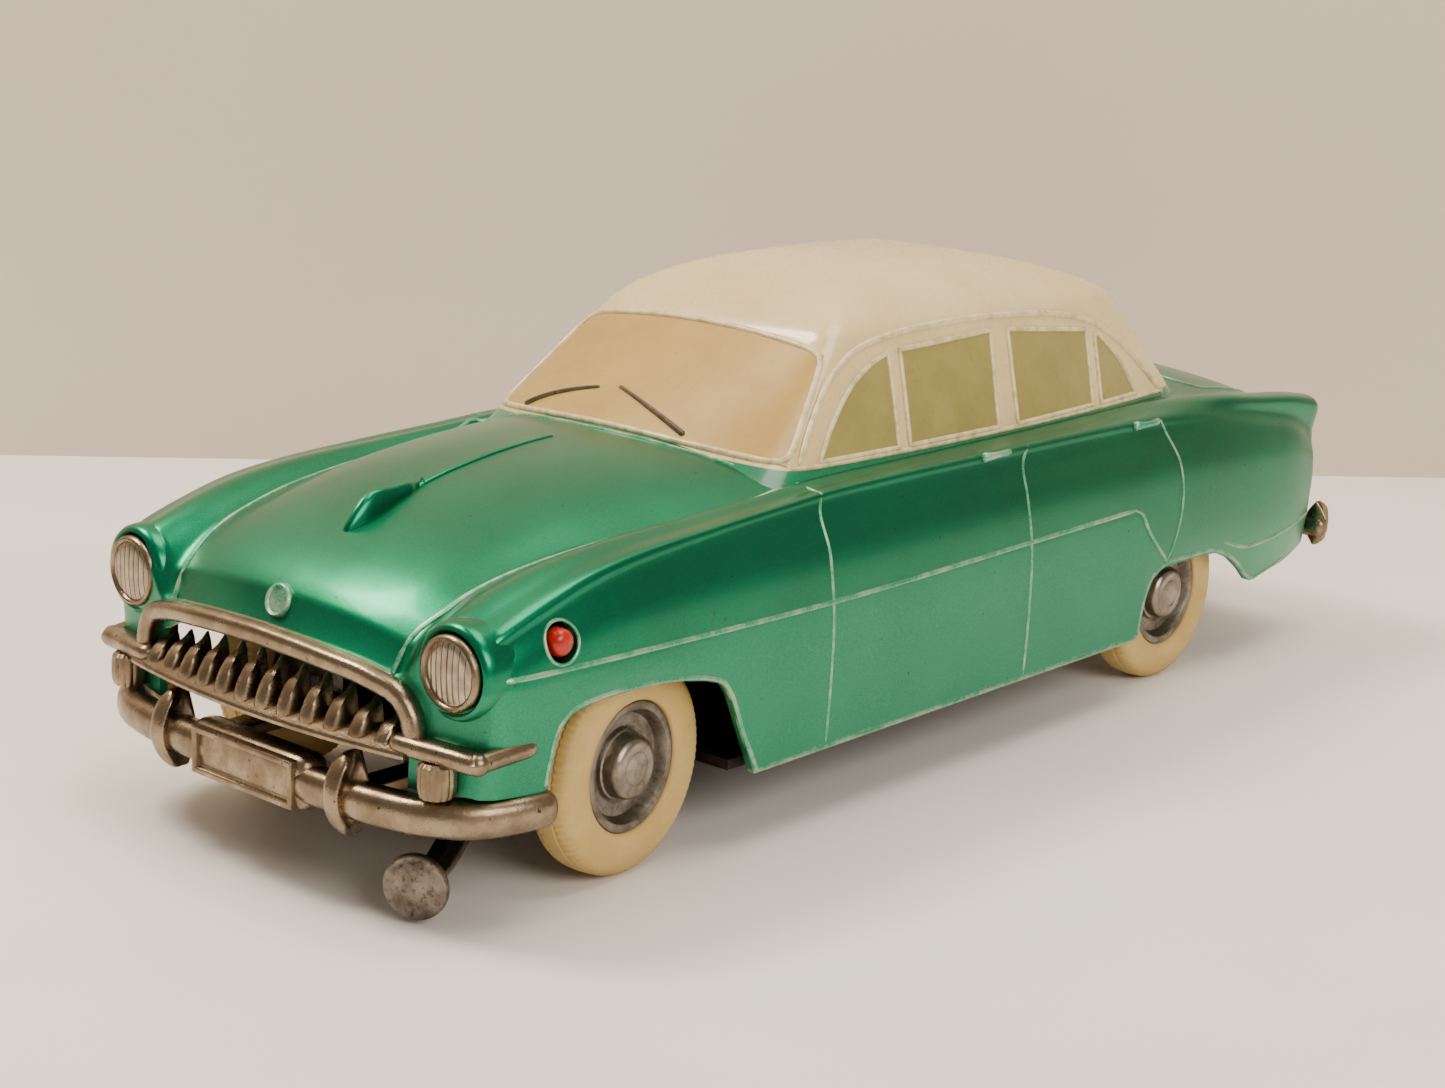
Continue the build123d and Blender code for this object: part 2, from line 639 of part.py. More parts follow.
# winding arbor, square at its outer end
square_end_y = -24.6
square_length = 6.0
square_width = 2.4
with BuildPart(side_plane(barrel_centre, arbor_end_y)) as winding_arbor:
    round_length = arbor_end_y - square_end_y - square_length
    Cylinder(winding_arbor_radius, round_length, align=(Align.CENTER, Align.CENTER, Align.MIN))
    with Locations((0, 0, round_length)):
        Box(square_width, square_width, square_length, align=(Align.CENTER, Align.CENTER, Align.MIN))
finish(winding_arbor, "winding_arbor")

spring_turns = 6
spring_inner_radius = winding_arbor_radius + 0.5
spring_thickness = 0.35
with BuildPart() as mainspring:
    with BuildSketch(side_plane(barrel_centre, -0.6)):
        points_per_turn = 20
        steps = spring_turns * points_per_turn
        spiral = []
        for step in range(steps + 1):
            radius = spring_inner_radius + (spring_outer_radius - spring_inner_radius) * step / steps
            angle = 2 * pi * step / points_per_turn
            spiral.append((radius, angle))
        outer_edge = [(r * cos(a), r * sin(a)) for r, a in spiral]
        inner_edge = [((r - spring_thickness) * cos(a), (r - spring_thickness) * sin(a)) for r, a in spiral]
        with BuildLine():
            Polyline(*outer_edge, *reversed(inner_edge), close=True)
        make_face()
    extrude(amount=7.6)
finish(mainspring, "mainspring")

ratchet_teeth = 12
ratchet_radius = 4.6
with BuildPart() as ratchet_wheel:
    with BuildSketch(side_plane(barrel_centre, 2.75)):
        ratchet = []
        for tooth in range(ratchet_teeth):
            angle = radians(tooth * 360 / ratchet_teeth)
            ratchet.append((ratchet_radius * cos(angle), ratchet_radius * sin(angle)))
            ratchet.append(((ratchet_radius - 0.9) * cos(angle), (ratchet_radius - 0.9) * sin(angle)))
        with BuildLine():
            Polyline(*ratchet, close=True)
        make_face()
        Circle(winding_arbor_radius, mode=Mode.SUBTRACT)
    extrude(amount=0.9)
finish(ratchet_wheel, "ratchet_wheel")

# click: a small pawl on the great wheel's left face
click_pivot = (barrel_centre[0], barrel_centre[1] + 7.6)
click_plane = side_plane(click_pivot, 2.75)
with BuildPart() as click:
    with BuildSketch(click_plane):
        with BuildLine():
            Polyline((-1.0, 1.0), (1.0, 1.0), (1.2, -0.8), (-3.2, -2.6), (-3.5, -2.2), close=True)
        make_face()
        Circle(0.6 + running_fit, mode=Mode.SUBTRACT)
    extrude(amount=0.9)
finish(click, "click")
with BuildPart(side_plane(click_pivot, 2.9)) as click_pin:
    Cylinder(0.6, 2.9 - 1.6, align=(Align.CENTER, Align.CENTER, Align.MIN))
finish(click_pin, "click_pin")

# ---- stop lever with its red knob ---------------------------------------
lever_bottom_z = knob_z - stop_lever_thickness / 2
brake_end = (22.0, star_start_y + 1.3)
with BuildPart() as stop_lever:
    with BuildSketch(Plane.XY.offset(lever_bottom_z)):
        with BuildLine():
            Polyline((knob_x, stop_pivot[1]), stop_pivot, (27.0, 14.6), (brake_end[0], 14.6))
        trace(line_width=2.2)
        with Locations(stop_pivot):
            Circle(2.0)
            Circle(kingpin_radius + running_fit, mode=Mode.SUBTRACT)
    extrude(amount=stop_lever_thickness)
    with Locations(((brake_end[0] + 0.1), 13.4, knob_z - 1.0)):
        Box(1.6, 1.8, 2.8)
    with Locations(Location((knob_x, stop_pivot[1] + 1.7, knob_z), (90, 0, 0))):
        Cylinder(0.7, 3.4)
finish(stop_lever, "stop_lever")

with BuildPart(Plane(origin=(knob_x, stop_pivot[1] + 3.4, knob_z), z_dir=(0, 1, 0))) as stop_knob:
    Cylinder(knob_radius, 1.5, align=(Align.CENTER, Align.CENTER, Align.MIN))
    fillet(stop_knob.edges().sort_by(Axis.Y)[-1:], 0.7)
finish(stop_knob, "stop_knob")

with BuildPart() as stop_lever_pin:
    with Locations((stop_pivot[0], stop_pivot[1], lever_bottom_z - 1.0)):
        Cylinder(1.7, 0.8, align=(Align.CENTER, Align.CENTER, Align.MIN))
        Cylinder(kingpin_radius, 6.5, align=(Align.CENTER, Align.CENTER, Align.MIN))
finish(stop_lever_pin, "stop_lever_pin")

# ---- control lever under the front bumper -------------------------------
lever_direction = (cos(radians(lever_angle)), sin(radians(lever_angle)), 0)
lever_side_plane = Plane(
    origin=(lever_pivot[0], lever_pivot[1], 0), x_dir=lever_direction,
    z_dir=(sin(radians(lever_angle)), -cos(radians(lever_angle)), 0),
)
lever_width = 3.4
lever_top_path = [(-3.0, lever_z + 0.5), (24.5, lever_z + 0.5), (31.0, pad_z + 0.5), (pad_distance - 1.2, pad_z + 0.5)]
with BuildPart() as control_lever:
    with BuildSketch(lever_side_plane):
        lower_path = [(a, z - lever_thickness) for a, z in reversed(lever_top_path)]
        with BuildLine():
            Polyline(*lever_top_path, *lower_path, close=True)
        make_face()
    extrude(amount=lever_width / 2, both=True)
    with Locations((lever_pivot[0], lever_pivot[1], lever_z)):
        Cylinder(2.6, lever_thickness)
        Cylinder(1.2 + running_fit, lever_thickness, mode=Mode.SUBTRACT)
finish(control_lever, "control_lever")

pad_plane = Plane(
    origin=(
        lever_pivot[0] + (pad_distance - 1.2) * lever_direction[0],
        lever_pivot[1] + (pad_distance - 1.2) * lever_direction[1], pad_z,
    ),
    z_dir=lever_direction,
)
with BuildPart(pad_plane) as control_pad:
    Cylinder(pad_radius, 1.2, align=(Align.CENTER, Align.CENTER, Align.MIN))
finish(control_pad, "control_pad")

with BuildPart() as lever_rivet:
    with Locations((lever_pivot[0], lever_pivot[1], lever_z - lever_thickness / 2 - 0.9)):
        Cylinder(2.0, 0.8, align=(Align.CENTER, Align.CENTER, Align.MIN))
        Cylinder(1.2, plate_top_z - lever_z + 1.4, align=(Align.CENTER, Align.CENTER, Align.MIN))
finish(lever_rivet, "lever_rivet")

# ---- plated front and rear castings -------------------------------------
with BuildPart() as front_bumper:
    with BuildLine() as bar_path:
        Spline(
            (62.4, 24.85, bumper_z), (68.6, 23.2, bumper_z), (72.0, 17.0, bumper_z), (72.9, 0, bumper_z),
            (72.0, -17.0, bumper_z), (68.6, -23.2, bumper_z), (62.4, -24.85, bumper_z),
        )
    with BuildSketch(Plane(origin=bar_path.line @ 0, z_dir=bar_path.line % 0)):
        Circle(bumper_radius)
    sweep(path=bar_path.line)
    with Locations((62.4, 24.85, bumper_z), (62.4, -24.85, bumper_z)):
        Sphere(bumper_radius)
    with Locations((plate_front_x - plate_depth / 2, 0, bumper_z + 0.1)):
        Box(plate_depth, 2 * plate_half_width, 4.6)
    for side in (1, -1):
        with Locations((73.7, side * overrider_y, bumper_z + 0.3)):
            Box(2.6, 2.0, 7.8)
        with Locations((66.0, side * 10.0, bumper_z - 0.6)):
            Box(12.6, 3.0, 1.2)
finish(front_bumper, "front_bumper")

grille_teeth = 12
with BuildPart() as front_grille:
    # arched upper bar
    with BuildLine() as arch_path:
        Spline(
            (70.6, 18.6, 16.2), (70.8, 17.4, 19.4), (71.6, 13.0, 21.2), (72.6, 0, 22.2),
            (71.6, -13.0, 21.2), (70.8, -17.4, 19.4), (70.6, -18.6, 16.2),
        )
    with BuildSketch(Plane(origin=arch_path.line @ 0, z_dir=arch_path.line % 0)):
        Circle(0.9)
    sweep(path=arch_path.line)
    # shelf, and the arms that run out to the wings
    with BuildSketch(Plane.XY.offset(15.2)):
        with BuildLine():
            Polyline(
                (69.3, 24.8), (70.6, 24.8), (73.4, 12.0), (74.4, 0), (73.4, -12.0), (70.6, -24.8),
                (69.3, -24.8), (70.2, -12.0), (70.8, 0), (70.2, 12.0), close=True,
            )
        make_face()
    extrude(amount=1.4)
    for tooth in range(grille_teeth):
        tooth_y = -15.4 + tooth * 30.8 / (grille_teeth - 1)
        tooth_x = 74.2 - (abs(tooth_y) / 15.4) ** 2 * 1.8
        with BuildSketch(Plane.XZ.offset(-tooth_y)):
            with BuildLine():
                Polyline((tooth_x, 16.4), (tooth_x - 1.6, 19.4), (tooth_x - 3.0, 19.0), (tooth_x - 2.8, 16.4), close=True)
            make_face()
        extrude(amount=0.55, both=True)
    for side in (1, -1):
        with Locations(Location((67.4, side * rod_end_y, rod_end_z), (0, 90, 0))):
            Cylinder(rod_end_radius, 5.0)
        with Locations((69.9, side * rod_end_y, rod_end_z)):
            Sphere(rod_end_radius)
        with Locations((71.1, side * 21.0, 13.8)):
            Cylinder(1.7, 3.2)
finish(front_grille, "front_grille")

rear_bar_x = -73.8
rear_bar_z = 13.2
with BuildPart() as rear_bumper:
    with Locations(Location((rear_bar_x, 0, rear_bar_z), (90, 0, 0))):
        Cylinder(1.15, 48.0)
    for side in (1, -1):
        with Locations((rear_bar_x, side * 24.8, rear_bar_z + 0.5)):
            Box(2.3, 2.4, 5.6)
finish(rear_bumper, "rear_bumper")

for side, side_name in ((1, "left"), (-1, "right")):
    with BuildPart(Plane(origin=(lamp_seat_x, side * lamp_y, lamp_z), z_dir=(1, 0, 0))) as headlamp:
        Cylinder(lamp_radius - 0.05, 3.2, align=(Align.CENTER, Align.CENTER, Align.MIN))
        fillet(headlamp.edges().sort_by(Axis.X)[-1:], 1.0)
        with Locations((0, 0, -2.8)):
            Cylinder(1.15, 2.8, align=(Align.CENTER, Align.CENTER, Align.MIN))
    finish(headlamp, f"headlamp_{side_name}")
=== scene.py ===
import bpy
import json
from math import cos, pi, radians, sin
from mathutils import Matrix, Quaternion, Vector
from mathutils.bvhtree import BVHTree


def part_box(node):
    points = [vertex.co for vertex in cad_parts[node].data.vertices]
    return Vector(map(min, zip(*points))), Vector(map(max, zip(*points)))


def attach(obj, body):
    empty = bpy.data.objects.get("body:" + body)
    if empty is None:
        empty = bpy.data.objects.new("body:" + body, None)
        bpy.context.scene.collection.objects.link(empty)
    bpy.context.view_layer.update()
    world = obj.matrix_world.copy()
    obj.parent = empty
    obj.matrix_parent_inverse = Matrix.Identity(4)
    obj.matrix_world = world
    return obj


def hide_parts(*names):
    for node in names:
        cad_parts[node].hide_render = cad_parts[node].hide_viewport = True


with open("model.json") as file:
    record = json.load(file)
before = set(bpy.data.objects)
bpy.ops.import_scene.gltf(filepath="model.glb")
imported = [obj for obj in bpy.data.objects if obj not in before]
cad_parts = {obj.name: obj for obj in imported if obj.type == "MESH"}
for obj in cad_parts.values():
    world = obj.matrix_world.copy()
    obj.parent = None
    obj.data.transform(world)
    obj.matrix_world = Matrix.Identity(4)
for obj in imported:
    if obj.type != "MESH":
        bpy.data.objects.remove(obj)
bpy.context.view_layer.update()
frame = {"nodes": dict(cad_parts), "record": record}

MM = 0.001


# ---- small helpers ------------------------------------------------------
def clear_selection():
    """Deselect everything, so that an operator acts on one piece only."""
    if bpy.context.object and bpy.context.object.mode != "OBJECT":
        bpy.ops.object.mode_set(mode="OBJECT")
    bpy.ops.object.select_all(action="DESELECT")


def pick(piece):
    """Select one object alone and make it active."""
    clear_selection()
    piece.select_set(True)
    bpy.context.view_layer.objects.active = piece


def modify(piece, kind, **settings):
    """Add a modifier with its settings and apply it."""
    pick(piece)
    modifier = piece.modifiers.new(kind.title(), kind)
    for key, value in settings.items():
        setattr(modifier, key, value)
    bpy.ops.object.modifier_apply(modifier=modifier.name)


def smooth(piece, angle=40):
    """Shade a piece smooth, with its sharper edges kept."""
    pick(piece)
    bpy.ops.object.shade_smooth_by_angle(angle=radians(angle))


def ease(value, low, high):
    """Smooth step from 0 at low to 1 at high."""
    share = min(max((value - low) / (high - low), 0.0), 1.0)
    return share * share * (3 - 2 * share)


def blend_value(low, high, share):
    return low + (high - low) * share


def station_value(stations, x, column):
    """Cubic through one column of a table of stations, in rising order of x."""
    last = len(stations) - 1
    spot = 0
    while spot < last - 1 and x > stations[spot + 1][0]:
        spot += 1
    before = stations[max(spot - 1, 0)]
    start = stations[spot]
    end = stations[spot + 1]
    after = stations[min(spot + 2, last)]
    width = end[0] - start[0]
    share = min(max((x - start[0]) / width, 0.0), 1.0)
    slope_in = (end[column] - before[column]) / (end[0] - before[0]) * width
    slope_out = (after[column] - start[column]) / (after[0] - start[0]) * width
    square = share * share
    cube = square * share
    return (
        (2 * cube - 3 * square + 1) * start[column] + (cube - 2 * square + share) * slope_in
        + (3 * square - 2 * cube) * end[column] + (cube - square) * slope_out
    )


def curve_through(points, samples):
    """Smooth line through 2-D or 3-D points; samples gives the count for each span."""
    places = [Vector(point) for point in points]
    spans = [max((b - a).length, 1e-6) for a, b in zip(places, places[1:])]
    slopes = [(b - a) / span for a, b, span in zip(places, places[1:], spans)]
    inner = [
        (before * ahead_span + ahead * back_span) / (back_span + ahead_span)
        for before, ahead, back_span, ahead_span in zip(slopes, slopes[1:], spans, spans[1:])
    ]
    tangents = [slopes[0]] + inner + [slopes[-1]]
    line = []
    for spot, span in enumerate(spans):
        for step in range(samples[spot]):
            t = step / samples[spot]
            line.append(
                places[spot] * (2 * t**3 - 3 * t**2 + 1) + tangents[spot] * (span * (t**3 - 2 * t**2 + t))
                + places[spot + 1] * (3 * t**2 - 2 * t**3) + tangents[spot + 1] * (span * (t**3 - t**2))
            )
    line.append(places[-1])
    return line


# ---- body casting: wings, bonnet, doors, boot ---------------------------
# x, sill y, strip y, crease y, crease z, step, crest y, crest z, valley y, valley z, middle z
BODY_STATIONS = [
    (-72.6, 24.0, 24.9, 24.6, 23.0, 0.35, 23.5, 29.8, 18.0, 27.6, 28.2),
    (-66.0, 25.1, 25.8, 25.3, 26.2, 0.7, 23.6, 30.8, 18.8, 29.4, 31.2),
    (-58.0, 25.7, 26.2, 25.2, 28.0, 0.7, 23.4, 31.5, 19.3, 30.6, 33.4),
    (-50.0, 26.0, 26.3, 24.9, 29.2, 0.5, 23.0, 32.4, 19.7, 31.6, 34.8),
    (-42.0, 26.1, 26.35, 24.6, 30.1, 0.25, 22.2, 32.7, 20.2, 32.4, 34.9),
    (-30.0, 26.2, 26.35, 24.2, 30.8, 0.1, 21.4, 32.6, 20.0, 32.6, 34.0),
    (0.0, 26.2, 26.35, 24.0, 31.1, 0.1, 21.3, 32.6, 20.0, 32.6, 33.5),
    (22.0, 26.2, 26.35, 23.9, 31.1, 0.1, 21.3, 32.4, 20.3, 32.2, 34.4),
    (30.0, 26.2, 26.35, 24.0, 30.8, 0.1, 21.4, 31.9, 20.0, 31.3, 35.0),
    (40.0, 26.2, 26.35, 24.3, 30.3, 0.1, 21.6, 31.5, 19.3, 30.6, 34.8),
    (50.0, 26.1, 26.35, 24.6, 29.5, 0.1, 21.7, 31.1, 18.3, 29.9, 33.5),
    (58.0, 25.9, 26.3, 24.8, 28.4, 0.1, 21.7, 30.3, 17.3, 28.9, 31.4),
    (64.0, 25.4, 26.2, 24.9, 27.0, 0.1, 21.7, 29.1, 16.6, 27.5, 29.2),
    (68.0, 24.6, 26.1, 24.9, 25.9, 0.1, 21.6, 27.9, 16.2, 25.5, 27.1),
    (70.4, 23.9, 25.8, 24.8, 25.0, 0.1, 21.5, 27.0, 15.9, 23.4, 24.9),
    (71.6, 23.5, 25.4, 24.6, 24.4, 0.1, 21.5, 26.4, 15.7, 21.6, 22.8),
]
# the lower edge of the casting seen from the side: x and z
UNDER_EDGE = [
    (-72.6, 12.4), (-70.8, 12.0), (-63.9, 10.6), (-55.3, 9.7), (-54.6, 9.9), (-52.5, 11.6), (-49.6, 13.4),
    (-46.0, 14.7), (-40.0, 15.0), (-34.4, 14.9), (-32.4, 13.9), (-31.2, 11.8), (-30.4, 8.3), (-30.1, 7.3),
    (35.9, 7.3), (39.9, 15.7), (40.9, 17.0), (42.6, 17.7), (47.0, 18.6), (52.0, 19.0), (57.2, 19.0),
    (60.2, 18.4), (61.7, 16.8), (62.3, 12.2), (62.8, 11.9), (75.0, 12.4),
]
STRIP_Z = 21.9
# the mouth under the bonnet lip, and the lower edge of the tail: each a side run and a top run of y and z
MOUTH = ([(17.0, 11.9), (17.2, 17.0), (16.2, 18.6)], [(16.2, 18.6), (13.6, 19.8), (9.0, 20.6), (0.0, 21.0)])
TAIL_EDGE = ([(22.6, 12.3), (22.4, 12.3)], [(22.4, 12.3), (0.0, 12.3)])
SECTION_SAMPLES = (9, 5, 7, 6, 5, 6, 6, 7, 6)


def under_edge_z(x):
    """Height of the casting's lower edge."""
    for (x0, z0), (x1, z1) in zip(UNDER_EDGE, UNDER_EDGE[1:]):
        if x <= x1:
            return blend_value(z0, z1, min(max((x - x0) / (x1 - x0), 0.0), 1.0))
    return UNDER_EDGE[-1][1]


def plan_bow(x, y):
    """How far the nose and the tail curve back, seen from above."""
    nose = 2.7 * ease(x, 50.0, 70.0) * (abs(y) / 25.0) ** 2.2
    tail = 1.1 * ease(-x, 58.0, 71.0) * (abs(y) / 25.0) ** 2.2
    return x - nose + tail


def body_section(x):
    """Half outline at one station, from the sill up and over to the middle."""
    value = [station_value(BODY_STATIONS, x, column) for column in range(11)]
    _, sill_y, strip_y, crease_y, crease_z, step, crest_y, crest_z, valley_y, valley_z, middle_z = value
    low_z = under_edge_z(plan_bow(x, 26.0))
    low_y = blend_value(sill_y, strip_y, (low_z - 7.3) / (STRIP_Z - 7.3))
    side = [
        (low_y, low_z),
        (blend_value(low_y, strip_y, 0.6) + 0.15, blend_value(low_z, STRIP_Z, 0.5)),
        (strip_y, STRIP_Z),
        (blend_value(strip_y, crease_y, 0.30), blend_value(STRIP_Z, crease_z, 0.56)),
        (crease_y, crease_z),
        (crease_y - step, crease_z + 0.35 + 0.25 * (crest_z - crease_z)),
        (crest_y + 0.9, crest_z - 0.35),
        (crest_y - 0.6, crest_z),
        (valley_y, valley_z),
    ]
    rise = middle_z - valley_z
    deck = [
        (valley_y, valley_z), (valley_y * 0.78, valley_z + rise * 0.5),
        (valley_y * 0.4, valley_z + rise * 0.9),
        (0.0, middle_z),
    ]
    line = curve_through(side, SECTION_SAMPLES[:8])[:-1]
    line += curve_through(deck, (7, 7, 6))
    return line


def body_stations():
    """Station places: even steps, closer together where the arches are steep."""
    places = {round(-72.6 + 0.6 * step, 2) for step in range(241)}
    places.add(71.6)
    for start, end in ((-32.8, -29.8), (35.6, 41.0), (63.0, 66.2), (-55.6, -54.2)):
        count = int((end - start) / 0.25)
        places |= {round(start + 0.25 * step, 2) for step in range(count + 1)}
    return sorted(place for place in places if place <= 71.6)


def body_rows():
    """All outlines of the casting, tail first, with both ends turned over and closed."""
    rows = []
    for x in body_stations():
        half = body_section(x)
        row = [Vector((plan_bow(x, y), y, z)) for y, z in half]
        row += [Vector((p.x, -p.y, p.z)) for p in reversed(row[:-1])]
        rows.append(row)
    nose_radius = 1.0
    tail_radius = 1.6
    nose = closing_rows([p - Vector((nose_radius, 0, 0)) for p in rows[-1]], 1, nose_radius, MOUTH)
    tail = closing_rows([p + Vector((tail_radius, 0, 0)) for p in rows[0]], -1, tail_radius, TAIL_EDGE)
    middle = len(rows[0]) // 2
    first = rows[0][middle].x + tail_radius
    last = rows[-1][middle].x - nose_radius
    inner = [row for row in rows if first < row[middle].x < last]
    return list(reversed(tail)) + inner + nose


def closing_rows(last_row, direction, radius, edge):
    """Rows that turn an end over with the given radius and carry its face on to an edge."""
    rows = []
    for turn in (20, 40, 60, 80):
        inset = radius * (1 - cos(radians(turn)))
        reach = radius * sin(radians(turn))
        rows.append(pulled_row(last_row, inset, direction * reach))
    far = closing_places(last_row, *edge)
    face = pulled_row(last_row, radius, direction * radius)
    reach_x = direction * radius + last_row[len(last_row) // 2].x
    for share in (0.15, 0.32, 0.5, 0.68, 0.85, 1.0):
        row = []
        for p, (y, z) in zip(face, far):
            y_here = blend_value(p.y, y, share)
            row.append(Vector((plan_bow(reach_x, y_here), y_here, blend_value(p.z, z, share))))
        rows.append(row)
    return rows


def closing_places(row, side_run, top_run):
    """Where an outline's points meet the edge: on its side run, then straight down on its top run."""
    half = row[:len(row) // 2 + 1]
    corner = next(spot for spot, p in enumerate(half) if p.y <= top_run[0][0])
    places = []
    for spot, p in enumerate(half):
        if spot < corner:
            along = (len(side_run) - 1) * spot / corner
            step = int(along)
            places.append(Vector(side_run[step]).lerp(Vector(side_run[step + 1]), along - step))
        else:
            (y0, z0), (y1, z1) = next(pair for pair in zip(top_run, top_run[1:]) if p.y >= pair[1][0])
            places.append(Vector((p.y, blend_value(z0, z1, (p.y - y0) / (y1 - y0)))))
    return places + [Vector((-y, z)) for y, z in reversed(places[:-1])]


def pulled_row(row, inset, reach):
    """One row moved inwards by inset, square to its outline, and along the car by reach."""
    last = len(row) - 1
    normals = []
    for spot in range(last + 1):
        ahead = row[min(spot + 1, last)].yz - row[max(spot - 1, 0)].yz
        normals.append(Vector((-ahead.y, ahead.x)).normalized())
    for _ in range(6):
        normals = [
            (normals[max(spot - 1, 0)] + normals[spot] * 2 + normals[min(spot + 1, last)]).normalized()
            for spot in range(last + 1)
        ]
    return [
        Vector((p.x + reach, p.y + normal.x * inset, p.z + normal.y * inset))
            for p, normal in zip(row, normals)
    ]


def sheet_from_rows(name, rows):
    """A grid shaped row by row into a curved sheet."""
    across = len(rows[0])
    clear_selection()
    bpy.ops.mesh.primitive_grid_add(
        x_subdivisions=across - 1, y_subdivisions=len(rows) - 1, size=1.0, location=(0, 0, 0)
    )
    sheet = bpy.context.object
    sheet.name = name
    flat = [point * MM for row in rows for point in row]
    for vertex, place in zip(sheet.data.vertices, flat):
        vertex.co = place
    bpy.ops.object.mode_set(mode="EDIT")
    bpy.ops.mesh.select_all(action="SELECT")
    bpy.ops.mesh.remove_doubles(threshold=0.00002)
    bpy.ops.mesh.normals_make_consistent(inside=False)
    bpy.ops.object.mode_set(mode="OBJECT")
    return sheet


# ---- cabin ---------------------------------------------------------------
RAIL_Z = 44.0
ROOF_Z = 49.9


def cabin_ring(z):
    """Outline of the cabin at one height, seen from above."""
    screen_x = 29.6 - 1.515 * (z - 34.5)
    pillar = Vector((25.1 - 1.028 * (z - 33.35), 20.0 - 0.418 * (z - 33.35)))
    back_pillar = Vector((-46.0 + 0.663 * (z - 32.8), 19.0 - 0.4 * (z - 32.8)))
    back_x = -50.5 + 1.21 * (z - 34.9)
    bulge = 1.1 + 0.07 * (z - 33.0)
    half = []
    front_steps = 22
    for step in range(front_steps):
        share = step / front_steps
        half.append(Vector((screen_x - (screen_x - pillar.x) * share**2.4, pillar.y * share)))
    side_steps = 64
    for step in range(side_steps):
        share = step / side_steps
        place = pillar.lerp(back_pillar, share)
        half.append(Vector((place.x, place.y + bulge * sin(pi * share) ** 0.7)))
    back_steps = 18
    for step in range(back_steps + 1):
        share = step / back_steps
        along = 1 - (1 - share) ** 2.2
        half.append(Vector((blend_value(back_pillar.x, back_x, along), back_pillar.y * (1 - share))))
    ring = half + [Vector((p.x, -p.y)) for p in reversed(half[1:-1])]
    for _ in range(4):
        ring = [
            ring[spot - 1] * 0.25 + ring[spot] * 0.5 + ring[(spot + 1) % len(ring)] * 0.25
            for spot in range(len(ring))
        ]
    return ring


def cabin_rows():
    """Rings from inside the body up to the rail, then the domed roof."""
    rows = []
    for step in range(28):
        z = 30.5 + (RAIL_Z - 30.5) * step / 27
        rows.append([Vector((p.x, p.y, z)) for p in cabin_ring(z)])
    rail_ring = cabin_ring(RAIL_Z)
    middle = Vector((-9.0, 0.0))
    roof_steps = 26
    for step in range(1, roof_steps + 1):
        share = sin(pi / 2 * step / roof_steps)
        inward = 1 - (1 - cos(pi / 2 * step / roof_steps)) if step < roof_steps else 0.0
        height = max(1 - inward**2.5, 0.0) ** 0.78
        row = []
        for p in rail_ring:
            place = middle.lerp(p, inward)
            droop = 0.9 * ease(-place.x, 12.0, 38.0) * (height)
            row.append(Vector((place.x, place.y, RAIL_Z + (ROOF_Z - RAIL_Z) * height - droop)))
        rows.append(row)
    for row in rows:
        row.append(row[0].copy())
    return rows


# ---- materials -----------------------------------------------------------
def colour(code):
    """Linear colour of an sRGB hex value."""
    parts = [int(code[spot:spot + 2], 16) / 255 for spot in (0, 2, 4)]
    linear = [part / 12.92 if part <= 0.04045 else ((part + 0.055) / 1.055) ** 2.4 for part in parts]
    return (*linear, 1.0)


def add_node(tree, kind, settings, inputs, output=0):
    """Add a node, set its properties, set or link its inputs, and give one of its outputs, or all."""
    node = tree.nodes.new("ShaderNode" + kind)
    for key, value in settings.items():
        setattr(node, key, value)
    for key, value in inputs.items():
        if isinstance(value, bpy.types.NodeSocket):
            tree.links.new(value, node.inputs[key])
        else:
            node.inputs[key].default_value = colour(value) if isinstance(value, str) else value
    return node.outputs if output is None else node.outputs[output]


def new_material(name):
    """Material with a shader and nothing else: returns it, its tree and its shader."""
    material = bpy.data.materials.new(name)
    material.use_nodes = True
    tree = material.node_tree
    tree.nodes.clear()
    shader = tree.nodes.new("ShaderNodeBsdfPrincipled")
    tree.links.new(shader.outputs["BSDF"], tree.nodes.new("ShaderNodeOutputMaterial").inputs["Surface"])
    return material, tree, shader


# settings that many nodes share
SMOOTH = {"interpolation_type": "SMOOTHSTEP"}
RGBA = {"data_type": "RGBA"}
ABSOLUTE = {"operation": "ABSOLUTE"}
ADD = {"operation": "ADD"}
MULTIPLY = {"operation": "MULTIPLY"}
SINE = {"operation": "SINE"}
SUBTRACT = {"operation": "SUBTRACT"}


made_materials = {}


def once(builder):
    """Build each material only once, however many pieces ask for it."""
    def wrapped():
        if builder.__name__ not in made_materials:
            made_materials[builder.__name__] = builder()
        return made_materials[builder.__name__]
    return wrapped


def per_metre(size_mm):
    """Noise scale for a pattern of the given size."""
    return 1000.0 / size_mm


def set_shader(shader, **values):
    """Constant values of the shader, by socket name with _ for a space."""
    for key, value in values.items():
        shader.inputs[key.replace("_", " ")].default_value = value


